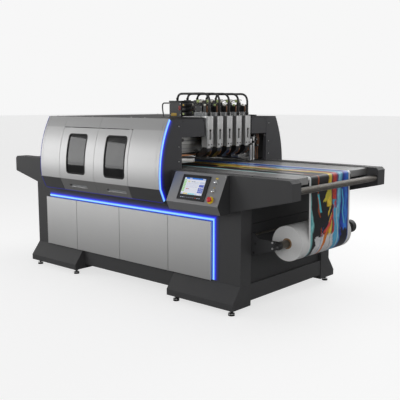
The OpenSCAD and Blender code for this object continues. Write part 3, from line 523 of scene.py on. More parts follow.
# %% The workshop
class Workshop:
    """Collects shapes into one mesh; each shape has a finish and sits in the row's frame."""

    def __init__(self):
        self.bm = bmesh.new()
        self.finishes = []

    def slot(self, finish):
        """The index of a finish in this piece."""
        if finish not in self.finishes:
            self.finishes.append(finish)
        return self.finishes.index(finish)

    def take(self, made, finish, matrix=None):
        """Copies a small bmesh in, with its finish."""
        index = self.slot(finish)
        for face in made.faces:
            face.material_index = index
        if matrix is not None:
            made.transform(matrix)
        scrap = bpy.data.meshes.new("scrap")
        made.to_mesh(scrap)
        made.free()
        self.bm.from_mesh(scrap)
        bpy.data.meshes.remove(scrap)

    def block(self, low, high, finish, ease=0.001, matrix=None, steps=2):
        """A block between two corners with eased edges."""
        made = bmesh.new()
        bmesh.ops.create_cube(made, size=1.0)
        low, high = Vector(low), Vector(high)
        size = high - low
        for v in made.verts:
            v.co = low + Vector((v.co[k] + 0.5) * size[k] for k in range(3))
        ease = min(ease, min(size) * 0.45)
        if ease > 0:
            bmesh.ops.bevel(made, geom=made.edges[:], offset=ease, segments=steps,
                            affect="EDGES", profile=0.5)
        self.take(made, finish, matrix)

    def loft(self, made, rings):
        """Joins rings of points with faces and closes both ends."""
        sides = len(rings[0])
        for one, two in zip(rings, rings[1:]):
            for k in range(sides):
                m = (k + 1) % sides
                made.faces.new((one[k], one[m], two[m], two[k]))
        made.faces.new(rings[0][::-1])
        made.faces.new(rings[-1])

    def turned(self, profile, finish, start, axis, sides=24):
        """A turned piece: profile is (distance along the axis, radius) from start."""
        made = bmesh.new()
        rings = []
        for along, radius in profile:
            ring = [
                made.verts.new((radius * math.cos(a), radius * math.sin(a), along))
                for a in [2 * math.pi * k / sides for k in range(sides)]
            ]
            rings.append(ring)
        self.loft(made, rings)
        turn = Vector((0, 0, 1)).rotation_difference(Vector(axis)).to_matrix().to_4x4()
        self.take(made, finish, Matrix.Translation(start) @ turn)

    def tube(self, route, radius, finish, sides=10, ribs=0.0):
        """A round tube along a route of points; ribs makes every other ring smaller."""
        made = bmesh.new()
        route = [Vector(p) for p in route]
        side = None
        rings = []
        for k, point in enumerate(route):
            ahead = (route[min(k + 1, len(route) - 1)] - route[max(k - 1, 0)]).normalized()
            if side is None:
                side = ahead.orthogonal().normalized()
            side = (side - ahead * side.dot(ahead)).normalized()
            other = ahead.cross(side)
            r = radius - (ribs if k % 2 else 0.0)
            rings.append([
                made.verts.new(point + r * (side * math.cos(a) + other * math.sin(a)))
                for a in [2 * math.pi * j / sides for j in range(sides)]
            ])
        self.loft(made, rings)
        self.take(made, finish)

    def bolt(self, at, axis, radius, finish):
        """A socket-head bolt: a short chamfered head with a hexagon hollow."""
        depth = radius * 0.9
        profile = [(0, radius), (depth * 0.8, radius), (depth, radius * 0.86),
                   (depth, radius * 0.52), (depth * 0.45, radius * 0.5), (depth * 0.45, 0.0001)]
        self.turned(profile, finish, at, axis, sides=18)

    def done(self, name, body, replaced=()):
        """Turns the collection into a piece that rides on a body."""
        mesh = bpy.data.meshes.new(name)
        bmesh.ops.recalc_face_normals(self.bm, faces=self.bm.faces[:])
        self.bm.to_mesh(mesh)
        self.bm.free()
        for finish in self.finishes:
            mesh.materials.append(finish)
        for p in mesh.polygons:
            p.use_smooth = True
        mesh.set_sharp_from_angle(angle=math.radians(35))
        piece = bpy.data.objects.new(name, mesh)
        bpy.context.scene.collection.objects.link(piece)
        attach(piece, body)
        if replaced:
            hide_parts(*replaced)
        print("piece", name, "with", len(mesh.polygons), "faces on", body)
        return piece


def path_points(corners, radius, steps=6):
    """Rounds the corners of a path of points, for tubes and cables."""
    corners = [Vector(c) for c in corners]
    route = [corners[0]]
    for before, corner, after in zip(corners, corners[1:], corners[2:]):
        a, b = (before - corner), (after - corner)
        first = 0.95 if before is corners[0] else 0.49
        last = 0.95 if after is corners[-1] else 0.49
        cut = min(radius, a.length * first, b.length * last)
        start, end = corner + a.normalized() * cut, corner + b.normalized() * cut
        for k in range(steps + 1):
            t = k / steps
            route.append(start.lerp(corner, t).lerp(corner.lerp(end, t), t))
    route.append(corners[-1])
    return route


print("workshop ready")

# %% [markdown]
# ## Light strips
# Blue light frames the hood's ends and the top of the cabinet doors. On the real machine a
# diffuser covers a row of diodes: its middle is almost white, its sides are deep blue, and a
# halo falls on the dark coat beside it. A lamp for each diode would be slow and noisy, so one
# ribbon carries all of it: the strip's own glow in the middle, and to each side painted light,
# emission laid over the coat where the halo falls. Its UV stores the distance from the middle,
# and a colour ramp turns that distance into glow. Thin dim lines of painted light also lie on
# the hood's left edge, its lower lip and the first door.

# %% The glow finish
HOOD_X0, HOOD_X1 = -0.8795, 0.4465
HOOD_LOW, BAND_Z = 0.690, 0.785
HALO = 0.050


def make_glow():
    """Emission from the distance to the strip's middle, kept in UV x as 0 to 1."""
    material, tree, shader = new_material("blue_light")
    place = add(tree, "ShaderNodeTexCoord")
    across = add(tree, "ShaderNodeSeparateXYZ", {0: place.outputs["UV"]})
    # Middle: the strip's own glow. Further out: painted light spill on the coat beside it.
    glow = ramp(tree, across.outputs[0], [
        (0.0, rgb(0.30, 0.72, 1.0)),
        (0.09, rgb(0.15, 0.52, 1.0)),
        (0.16, rgb(0.012, 0.09, 1.0)),
        (0.30, rgb(0.006, 0.008, 0.80)),
        (0.40, rgb(0.004, 0.005, 0.30)),
        (0.56, rgb(0.003, 0.004, 0.085)),
        (0.8, rgb(0.001, 0.0015, 0.025)),
        (1.0, rgb(0.0)),
    ])
    diodes = noise(tree, {"Vector": place.outputs["Object"], "Scale": 60.0})
    flicker = remap(tree, diodes, 0.2, 0.8, 0.85, 1.1)
    lit = scaled(tree, glow, flicker)
    tree.links.new(lit, shader.inputs["Emission Color"])
    shader.inputs["Emission Strength"].default_value = 1.05
    coat = ramp(tree, across.outputs[0], [(0.12, rgb(0.3)), (0.2, rgb(0.036, 0.036, 0.040))])
    tree.links.new(coat, shader.inputs["Base Color"])
    shader.inputs["Roughness"].default_value = 0.5
    return material


blue_light = make_glow()


# %% The hood's outline
def hood_edge(z, inset=0.0):
    """The outline of the hood's front at a height: (y, z) and the outward direction."""
    radius, centre_y, centre_z = 0.773, 0.058, 0.872
    if z >= BAND_Z:
        angle = math.asin((z - centre_z) / radius)
        outward = Vector((-math.cos(angle), math.sin(angle)))
        point = Vector((centre_y, centre_z)) + radius * outward
    else:
        low, high = Vector((-0.668, HOOD_LOW)), Vector((-0.7101, BAND_Z))
        point = low.lerp(high, (z - HOOD_LOW) / (BAND_Z - HOOD_LOW))
        run = (high - low).normalized()
        outward = Vector((-run.y, run.x))
    return point - outward * inset, outward


print("hood reaches", hood_edge(0.872)[0])

# %% Ribbons of light
CREST = [(0.0, 0.0040), (0.0030, 0.0039), (0.0060, 0.0028), (0.0075, 0.0008), (0.0110, 0.0005),
         (0.020, 0.0004), (0.034, 0.0003), (1.0, 0.0003)]


def light_ribbon(bm, uv, stations, low_side, high_side):
    """A ribbon through stations of (point, across, outward), out to a reach on each side."""
    rows = []
    spread = [(-d, h) for d, h in reversed(CREST) if 0 < d < low_side] + [
        (d, h) for d, h in CREST if d < high_side
    ]
    spread = [(-low_side, 0.0003)] + spread + [(high_side, 0.0003)]
    for point, across, outward in stations:
        rows.append([bm.verts.new(point + across * d + outward * h) for d, h in spread])
    for one, two in zip(rows, rows[1:]):
        for k in range(len(spread) - 1):
            face = bm.faces.new((one[k], one[k + 1], two[k + 1], two[k]))
            for loop, j in zip(face.loops, (k, k + 1, k + 1, k)):
                loop[uv].uv = (min(1.0, abs(spread[j][0]) / HALO), 0.5)


def make_light_strips():
    """All strips of light as one piece, with their painted halo and painted edge lines."""
    bm = bmesh.new()
    uv = bm.loops.layers.uv.new("glow")
    heights = [0.7005 + k * (1.2515 - 0.7005) / 48 for k in range(49)]
    for x, side in ((HOOD_X1, 1.0), (HOOD_X0, -1.0)):
        stations = []
        for z in heights:
            point, out2 = hood_edge(z, 0.009)
            inward = Vector((0.0, -out2.x, -out2.y))
            stations.append((Vector((x, point.x, point.y)), inward, Vector((side, 0, 0))))
        light_ribbon(bm, uv, stations, 0.0085, HALO)
    # Along the top of the doors, round the corner and down beside the last door
    face_y, strip_z, strip_x = -0.545, 0.603, 0.7835
    out = Vector((0, -1, 0))
    stations = [
        (Vector((-0.9955, face_y, strip_z)), Vector((0, 0, 1)), out),
        (Vector((0.70, face_y, strip_z)), Vector((0, 0, 1)), out),
        (Vector((strip_x, face_y, strip_z)), Vector((1, 0, 1)), out),
        (Vector((strip_x, face_y, 0.55)), Vector((1, 0, 0)), out),
        (Vector((strip_x, face_y, 0.199)), Vector((1, 0, 0)), out),
    ]
    light_ribbon(bm, uv, stations, 0.012, HALO)
    # Thin lines of painted stray light along the hood's left edge, its lower lip and the
    # first door
    edge = []
    for z in heights:
        point, out2 = hood_edge(z)
        edge.append([Vector((HOOD_X0 + 0.001 + w, point.x, point.y)) + 0.0004 * Vector(
            (0, out2.x, out2.y)) for w in (0.0, 0.006)])
    lip = [[Vector((x, -0.6684 - 0.0004, 0.6905)), Vector((x, -0.6702, 0.6945))]
           for x in (HOOD_X0 + 0.006, HOOD_X1 - 0.006)]
    side = [[Vector((x, -0.5454, z)) for x in (-1.0372, -1.0332)] for z in (0.199, 0.586)]
    for line in (edge, lip, side):
        for (a, b), (c, d) in zip(line, line[1:]):
            face = bm.faces.new([bm.verts.new(v) for v in (a, b, d, c)])
            for loop, near in zip(face.loops, (0.40, 0.47, 0.47, 0.40)):
                loop[uv].uv = (near, 0.5)
    bmesh.ops.recalc_face_normals(bm, faces=bm.faces[:])
    mesh = bpy.data.meshes.new("light_strips")
    bm.to_mesh(mesh)
    bm.free()
    mesh.materials.append(blue_light)
    for p in mesh.polygons:
        p.use_smooth = True
    piece = bpy.data.objects.new("light_strips", mesh)
    bpy.context.scene.collection.objects.link(piece)
    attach(piece, "root")
    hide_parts("led_strips")
    return piece


light_strips = make_light_strips()
print("light strips:", len(light_strips.data.polygons), "faces")

# %% [markdown]
# ## Window seals and door grips
# Each pane sits in a black rubber seal that follows the curve of the door. Its outline is a
# rectangle with round corners, laid on the hood's own curve, so the seal bends with the skin.
# The grips are recesses in the dark band; a bright lip inside them is what fingers pull on.

# %% Window seals
WINDOWS = ((-0.548, -0.328), (-0.114, 0.106))
WINDOW_Z = (0.828, 1.128)


def rounded_outline(x0, x1, z0, z1, radius, grow, per_corner=8, per_side=10):
    """Points round a rectangle with round corners, pushed out by grow."""
    points = []
    corners = [(x1 - radius, z1 - radius, 0), (x0 + radius, z1 - radius, 90),
               (x0 + radius, z0 + radius, 180), (x1 - radius, z0 + radius, 270)]
    for k, (cx, cz, start) in enumerate(corners):
        arc = []
        for j in range(per_corner + 1):
            a = math.radians(start + 90 * j / per_corner)
            reach = radius + grow
            arc.append((cx + reach * math.cos(a), cz + reach * math.sin(a)))
        if points:
            last = points[-1]
            points += [(last[0] + (arc[0][0] - last[0]) * s / per_side,
                        last[1] + (arc[0][1] - last[1]) * s / per_side)
                       for s in range(1, per_side)]
        points += arc
    last, first = points[-1], points[0]
    points += [(last[0] + (first[0] - last[0]) * s / per_side,
                last[1] + (first[1] - last[1]) * s / per_side) for s in range(1, per_side)]
    return points


def make_seal(number):
    """The seal of one window: four closed rails joined into a soft strip."""
    x0, x1 = WINDOWS[number - 1]
    shop = Workshop()
    bm = bmesh.new()
    rails = []
    section = [(0.0015, -0.0002), (0.0005, -0.0018), (-0.0035, -0.0022), (-0.0085, -0.0014),
               (-0.0105, 0.0020), (-0.0105, 0.0038), (0.0, 0.0038)]
    for grow, inset in section:
        rail = []
        for x, z in rounded_outline(x0, x1, *WINDOW_Z, 0.026, grow):
            point, outward = hood_edge(z, inset)
            rail.append(bm.verts.new((x, point.x, point.y)))
        rails.append(rail)
    count = len(rails[0])
    for one, two in zip(rails, rails[1:] + rails[:1]):
        for k in range(count):
            m = (k + 1) % count
            bm.faces.new((one[k], one[m], two[m], two[k]))
    shop.take(bm, rubber)
    shop.done("window_seal_%d" % number, "hood_door_%d" % number)


for number in (1, 2):
    make_seal(number)

# %% Door grips
for number, (window_x0, _) in enumerate(WINDOWS, 1):
    shop = Workshop()
    grip_x0, grip_x1 = window_x0 + 0.008, window_x0 + 0.212
    shop.block((grip_x0 + 0.001, -0.6835, 0.7210), (grip_x1 - 0.001, -0.6690, 0.7280),
               bracket_alloy, 0.0012)
    shop.block((grip_x0 + 0.001, -0.6765, 0.7280), (grip_x1 - 0.001, -0.6700, 0.7430),
               machine_grey, 0.0012)
    shop.done("grip_lip_%d" % number, "hood_door_%d" % number)

# %% [markdown]
# ## Console
# The screen is a bought-in panel: a black frame, a lit face with plain coloured fields and a
# row of tiny marks below it. The fields are thin tiles in a frame that lies on the sloping
# face, so each is placed with two numbers, right and down. The push buttons are turned metal
# domes, and the emergency stop is a ribbed mushroom on a yellow disc.

# %% The sloping face
FACE = Matrix((
    (1, 0, 0, 0.515),
    (0, 0.447214, -0.894427, -0.621),
    (0, 0.894427, 0.447214, 0.910),
    (0, 0, 0, 1),
))
FACE_OUT = Vector((0, -0.894427, 0.447214))


def on_face(right, down, out=0.0):
    """A place on the console's face, in metres from its top left corner."""
    return FACE @ Vector((right, -down, out))


def lit(name, color, strength):
    """A lit field of the display with a faint weave of picture cells under clear glass."""
    material, tree, shader = new_material(name)
    place = add(tree, "ShaderNodeTexCoord")
    cells = noise(tree, {"Vector": place.outputs["Object"], "Scale": 260.0, "Detail": 1.0})
    gain = remap(tree, cells, 0.3, 0.7, 0.88, 1.06)
    shade = scaled(tree, rgb(*color)[:3], gain)
    tree.links.new(shade, shader.inputs["Emission Color"])
    tree.links.new(shade, shader.inputs["Base Color"])
    shader.inputs["Emission Strength"].default_value = strength
    shader.inputs["Roughness"].default_value = 0.25
    shader.inputs["Coat Weight"].default_value = 0.5
    return material


lit_white = lit("display_white", (0.72, 0.74, 0.82), 0.42)
lit_pale = lit("display_pale", (0.52, 0.57, 0.74), 0.42)
lit_blue = lit("display_blue", (0.03, 0.17, 0.60), 0.5)
lit_button = lit("display_button", (0.10, 0.14, 0.48), 0.5)
lit_green = lit("display_green", (0.30, 0.62, 0.22), 0.45)
lit_cyan = lit("display_cyan", (0.20, 0.62, 0.70), 0.45)
lit_yellow = lit("display_yellow", (0.72, 0.60, 0.16), 0.45)
lit_red = lit("display_red", (0.60, 0.14, 0.10), 0.4)
lit_grey = lit("display_grey", (0.24, 0.26, 0.32), 0.4)
print("display fields ready")

# %% The display
SCREEN_OUT = 0.005
TILES = [
    (108, 38, 180, 114, 0.4, lit_white), (108, 38, 180, 10, 0.7, lit_blue),
    (109, 39, 13, 8, 0.9, lit_white), (150, 40, 22, 5, 0.9, lit_pale),
    (262, 39, 24, 8, 0.9, lit_pale), (136, 54, 108, 74, 0.6, lit_white),
    (140, 62, 24, 4, 0.8, lit_yellow), (172, 62, 12, 4, 0.8, lit_grey),
    (188, 62, 18, 4, 0.8, lit_grey), (210, 64, 26, 3, 0.8, lit_pale),
    (140, 74, 96, 0.8, 0.8, lit_grey), (140, 100, 96, 0.8, 0.8, lit_grey),
    (142, 112, 16, 5, 0.8, lit_red), (160, 112, 10, 4, 0.8, lit_grey),
    (246, 80, 40, 17, 0.9, lit_button), (246, 62, 40, 13, 0.7, lit_pale),
]
TILES += [(110, 52 + n * 10.5, 20, 7.5, 0.8, lit_green) for n in range(8)]
TILES += [(244 + 14.5 * (n % 3), 102 + 12 * (n // 3), 13, 10.5, 0.9, lit_button) for n in range(9)]
TILES += [(140 + 12 * (n % 8), 80 + 6 * (n // 8), 8, 1.6, 0.8, lit_pale) for n in range(24)]
TILES += [(109 + 20 * n, 143, 18, 7.5, 0.9, tone) for n, tone in enumerate(
    (lit_pale, lit_yellow, lit_yellow, lit_cyan, lit_cyan, lit_cyan, lit_pale, lit_white,
     lit_pale))]
shop = Workshop()
for right, down, wide, tall, proud, finish in TILES:
    shop.block((right / 1000, -(down + tall) / 1000, SCREEN_OUT),
               ((right + wide) / 1000, -down / 1000, SCREEN_OUT + proud / 1000),
               finish, 0.0002, FACE, steps=1)
MARKS = [lit_pale, lit_pale, lit_grey, lit_grey, lit_grey, lit_grey, lit_grey, lit_red, lit_pale,
         lit_pale]
for n, finish in enumerate(MARKS):
    shop.block((0.116 + 0.0175 * n, -0.1735, SCREEN_OUT), (0.125 + 0.0175 * n, -0.1695,
               SCREEN_OUT + 0.0004), finish, 0.0002, FACE, steps=1)
rim = ((87, 17, 232, 5), (87, 184, 232, 5), (87, 17, 5, 172), (314, 17, 5, 172))
for right, down, wide, tall in rim:
    shop.block((right / 1000, -(down + tall) / 1000, SCREEN_OUT - 0.001),
               ((right + wide) / 1000, -down / 1000, SCREEN_OUT + 0.0022), black_plastic,
               0.0015, FACE)
shop.done("screen_display", "root")

# %% Push buttons and tags
DOME = [(0, 0.0105), (0.0012, 0.011), (0.004, 0.011), (0.0062, 0.0096), (0.0078, 0.0066),
        (0.0085, 0.003), (0.0086, 0.0001)]
for name, down in (("start_button", 0.052), ("stop_button", 0.112)):
    shop = Workshop()
    shop.turned([(0, 0.0079), (0.006, 0.0079)], chrome, on_face(0.369, down, 0.0), FACE_OUT)
    shop.turned(DOME, chrome, on_face(0.369, down, 0.0050), FACE_OUT, sides=36)
    shop.done(name.replace("button", "dome"), name, (name,))
shop = Workshop()
for down in (0.052, 0.112):
    shop.turned([(0, 0.0150), (0.0012, 0.0150), (0.003, 0.0138), (0.003, 0.0116), (0.0, 0.0115)],
                bolt_steel, on_face(0.369, down, 0.0003), FACE_OUT, sides=32)
shop.block((0.359, -0.0310, 0), (0.379, -0.0215, 0.001), yellow, 0.0009, FACE)
shop.block((0.3625, -0.0905, 0), (0.3755, -0.0845, 0.001), tag_yellow, 0.0009, FACE)
for right, down in ((0.010, 0.010), (0.430, 0.010), (0.010, 0.200), (0.430, 0.200)):
    shop.bolt(on_face(right, down, 0.0), FACE_OUT, 0.0035, bolt_steel)
shop.done("console_fittings", "root")

# %% Emergency stop
shop = Workshop()
shop.turned([(0, 0.0089), (0.0035, 0.0089)], red, on_face(0.369, 0.172, 0.0095), FACE_OUT)
shop.turned([(0, 0.0135), (0.0015, 0.0165), (0.006, 0.0170), (0.0095, 0.0165), (0.0125, 0.0140),
             (0.0142, 0.0095), (0.0148, 0.0045), (0.0150, 0.0001)], red,
            on_face(0.369, 0.172, 0.0120), FACE_OUT, sides=40)
for k in range(16):
    a = 2 * math.pi * k / 16
    shop.turned([(0, 0.0012), (0.0065, 0.0012)], red,
                on_face(0.369 + 0.0163 * math.cos(a), 0.172 + 0.0163 * math.sin(a), 0.0145),
                FACE_OUT, sides=8)
shop.done("estop_mushroom", "estop_cap", ("estop_cap",))

# %% [markdown]
# ## Head bank
# Five light alloy columns hang in front of the beam, each with a motor on its arm. Black
# conduits loop from the columns to the terminal boxes. A conduit is a corrugated tube, so it is
# swept along a rounded path with every second ring drawn in. Connectors, ribbons and bolts make
# the bank look wired, and all of them are small blocks and turned pieces.

# %% Conduits
HEAD_Y = (-0.190, -0.080, 0.030, 0.140, 0.250)
LOOP_TOP = 1.4240
shop = Workshop()
for y in HEAD_Y:
    corners = [(0.4385, y, 1.266), (0.4385, y, LOOP_TOP), (0.1245, y, LOOP_TOP), (0.1245, y, 1.374)]
    rounded = path_points(corners, 0.065, 12)
    route, pitch = [rounded[0]], 0.0035
    for a, b in zip(rounded, rounded[1:]):
        count = max(1, round((b - a).length / pitch))
        route += [a.lerp(b, s / count) for s in range(1, count + 1)]
    shop.tube(route, 0.0083, satin_black, 12, 0.0007)
    for x, z, way in ((0.4385, 1.263, 1), (0.1245, 1.372, 1)):
        shop.turned([(0, 0.0085), (0.010, 0.0085), (0.012, 0.0100), (0.020, 0.0100),
                     (0.022, 0.0080)], black_plastic, (x, y, z), (0, 0, way), 8)
lead = path_points([(0.0995, -0.210, 1.356), (-0.0125, -0.210, 1.356),
                    (-0.0125, -0.210, 1.310), (0.0015, -0.210, 1.252)], 0.046, 10)
shop.tube(lead, 0.005, satin_black, 12)
shop.turned([(0, 0.0085), (0.010, 0.0085), (0.012, 0.0065)], black_plastic,
            (0.0995, -0.210, 1.356), (-1, 0, 0), 12)
shop.done("conduit_loops", "root", ("cable_loops",))

# %% Terminal boxes
shop = Workshop()
shop.block((0.0970, -0.2530, 1.362), (0.2210, -0.1570, 1.3735), black_plastic, 0.0015)
shop.block((0.116, -0.2512, 1.262), (0.172, -0.2498, 1.284), tag_yellow, 0.0004)
shop.block((0.192, -0.2512, 1.304), (0.212, -0.2498, 1.336), tag_red, 0.0004)
shop.block((0.082, -0.240, 1.2540), (0.110, -0.185, 1.2565), rail_alloy, 0.0006)
shop.block((0.0935, -0.240, 1.2560), (0.0990, -0.185, 1.292), rail_alloy, 0.0006)
for z in (1.272, 1.352):
    for x in (0.108, 0.210):
        shop.bolt((x, -0.250, z), (0, -1, 0), 0.003, bolt_steel)
for j in range(3):
    shop.block((0.2188, -0.246, 1.266 + 0.032 * j), (0.2560, -0.168, 1.292 + 0.032 * j),
               black_plastic, 0.003)
    shop.block((0.2300, -0.2475, 1.271 + 0.032 * j), (0.2440, -0.2455, 1.285 + 0.032 * j),
               (lime, black_plastic, tag_yellow)[j], 0.0008)
randomizer = random.Random(7)
for k, y in list(enumerate(HEAD_Y))[1:]:
    for j in range(3):
        z = 1.276 + 0.030 * j
        shop.block((0.1585, y - 0.020, z), (0.1680, y - 0.004, z + 0.018), black_plastic, 0.001)
        shop.block((0.1585, y + 0.004, z), (0.1640, y + 0.020, z + 0.018),
                   (ivory, lime, black_plastic)[(k + j) % 3], 0.001)
    shop.block((0.098, y - 0.012, 1.3715), (0.150, y + 0.012, 1.3785), black_plastic, 0.001)
shop.done("terminal_fittings", "root")

# %% Motors and wiring
shop = Workshop()
for k, y in enumerate(HEAD_Y):
    shop.block((0.3255, y - 0.0235, 1.3385), (0.3855, y + 0.0235, 1.3440), black_plastic, 0.0012)
    shop.block((0.332, y - 0.021, 1.360), (0.352, y - 0.003, 1.380), lime, 0.0015)
    shop.block((0.356, y - 0.020, 1.360), (0.372, y - 0.004, 1.374), ivory, 0.0015)
    shop.block((0.334, y + 0.004, 1.3600), (0.356, y + 0.019, 1.370), tan_cable, 0.001)
    shop.block((0.3960, y - 0.0205, 1.330), (0.4230, y + 0.0205, 1.3345), black_plastic, 0.001)
    shop.block((0.3985, y - 0.018, 1.3345), (0.4085, y - 0.004, 1.350), (ivory, lime)[k % 2],
               0.0012)
    shop.block((0.4105, y + 0.002, 1.3345), (0.4200, y + 0.017, 1.346), black_plastic, 0.0012)
    shop.block((0.4235, y - 0.017, 1.291), (0.4255, y - 0.005, 1.338), tan_cable, 0.0004)
    for z in (1.298, 1.328):
        for side in (-1, 1):
            shop.bolt((0.3300 if side < 0 else 0.3800, y - 0.024, z), (0, -1, 0), 0.0026,
                      bolt_steel)
    for n in range(5):
        start = Vector((0.350 + 0.006 * n, y - 0.014 + 0.006 * n, 1.372))
        end = Vector((0.1660 if k else 0.2580, y - 0.012 + 0.006 * n, 1.285 + 0.016 * (n % 4)))
        lift = 0.018 + 0.010 * randomizer.random()
        middle = start.lerp(end, 0.45) + Vector((0, 0.012 * (randomizer.random() - 0.5), lift))
        wire = [start, start + Vector((0, 0, 0.012)), middle, end + Vector((0.022, 0, 0.004)), end]
        shop.tube(path_points(wire, 0.05, 5), 0.0017,
                  (satin_black, tan_cable, satin_black, ivory, satin_black)[n], 6)
shop.done("motor_wiring", "root")

# %% Column fittings
shop = Workshop()
for y in HEAD_Y:
    for side in (-1, 1):
        shop.block((0.4462, y + side * 0.0235 - 0.0015, 1.050),
                   (0.4474, y + side * 0.0235 + 0.0015, 1.258), column_alloy, 0.0004)
        shop.block((0.4462, y + side * 0.0125 - 0.0008, 1.090),
                   (0.4471, y + side * 0.0125 + 0.0008, 1.258), column_alloy, 0.0003)
    shop.bolt((0.4465, y - 0.016, 1.060), (1, 0, 0), 0.0045, satin_black)
    shop.bolt((0.4465, y + 0.016, 1.060), (1, 0, 0), 0.0045, satin_black)
    for x in (0.335, 0.405):
        shop.bolt((x, y - 0.0322, 1.279), (0, -1, 0), 0.0035, bolt_steel)
    shop.block((0.3215, y - 0.0322, 1.2630), (0.4280, y - 0.0311, 1.2890), machine_grey, 0.0004)
    for z in (1.2640, 1.2710, 1.2835):
        shop.block((0.3225, y - 0.0332, z), (0.4275, y - 0.0320, z + 0.0035), machine_grey, 0.0005)
shop.done("column_fittings", "root")

# %% Print heads
for number, y in enumerate(HEAD_Y, 1):
    shop = Workshop()
    shop.block((0.3215, y - 0.0275, 0.9635), (0.3905, y + 0.0275, 0.9950), satin_black, 0.009,
               steps=4)
    shop.block((0.3270, y - 0.0230, 0.9620), (0.3850, y + 0.0230, 0.9665), black_plastic, 0.0015)
    for side in (-1, 1):
        shop.block((0.3320, y + side * 0.012 - 0.004, 0.9615),
                   (0.3800, y + side * 0.012 + 0.004, 0.9630), copper, 0.0006)
    shop.block((0.3895, y - 0.012, 0.9700), (0.3925, y + 0.012, 0.9745), copper, 0.0008)
    tilt = Matrix.Translation((0.3960, y, 0.9960)) @ Matrix.Rotation(math.radians(33), 4, "Y")
    shop.block((-0.006, -0.0245, -0.010), (0.010, 0.0245, 0.038), satin_black, 0.005, tilt, 3)
    shop.block((0.0095, -0.0150, 0.002), (0.0125, 0.0150, 0.026), black_plastic, 0.001, tilt)
    for side in (-1, 1):
        shop.bolt(tilt @ Vector((0.010, side * 0.019, 0.030)),
                  tilt.to_3x3() @ Vector((1, 0, 0)), 0.0026, bolt_steel)
    shop.block((0.4160, y - 0.018, 1.0110), (0.4400, y + 0.018, 1.0345), satin_black, 0.004)
    shop.tube(path_points([(0.4360, y + 0.012, 1.030), (0.4440, y + 0.014, 1.010),
                           (0.4250, y + 0.016, 0.985), (0.3980, y + 0.016, 0.978)], 0.02, 5),
              0.0022, tan_cable, 8)
    shop.done("head_trim_%d" % number, "print_head_%d" % number)

# %% [markdown]
# ## The printed web
# The film runs from the nearly empty roll over the bed, over a nose and down onto the full
# roll. It is one sheet bent along a path, so its mesh is the path swept across the width. UV x
# goes across the sheet and UV y is the distance along it, both in metres, so the print can be
# painted in the sheet's own terms. Ribbons of colour run the length of the print first. A table
# of brush strokes is laid over them, each a curved band with rough edges.

# %% The web's route
WEB_LOW_Y, WEB_HIGH_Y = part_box("media_web")[0][1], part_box("media_web")[1][1]
NOSE_R, NOSE_X, NOSE_Z = 0.020, 1.307, 0.880
WEB_OFF, WEB_THICK = 0.00045, 0.0006
PRINT_START = 1.55


def bend(x, z, radius, start, end, steps):
    """Points of an arc in the XZ plane, from one angle to another in degrees."""
    angles = [math.radians(start + (end - start) * k / steps) for k in range(steps + 1)]
    return [(x + radius * math.cos(a), z + radius * math.sin(a)) for a in angles]


def straight(start, end, steps):
    """Points between two ends, without the ends."""
    return [(start[0] + (end[0] - start[0]) * k / steps, start[1] + (end[1] - start[1]) * k / steps)
            for k in range(1, steps)]


def web_route(off):
    """The route of one face of the web."""
    start = [(SPENT_ROLL_X - 0.068 - off, ROLL_Z)]
    first = bend(-NOSE_X, NOSE_Z, NOSE_R + off, 180, 90, 10)
    second = bend(NOSE_X, NOSE_Z, NOSE_R + off, 90, 0, 10)
    last = bend(FULL_ROLL_X, ROLL_Z, 0.114 + off, 0, -110, 22)
    return (start + straight(start[0], first[0], 6) + first + straight(first[-1], second[0], 40)
            + second + straight(second[-1], last[0], 8) + last)


def run_lengths(route):
    """The distance along a route at each of its points."""
    total, lengths = 0.0, [0.0]
    for a, b in zip(route, route[1:]):
        total += math.dist(a, b)
        lengths.append(total)
    return lengths


INNER, OUTER = web_route(WEB_OFF), web_route(WEB_OFF + WEB_THICK)
ALONG = run_lengths(OUTER)

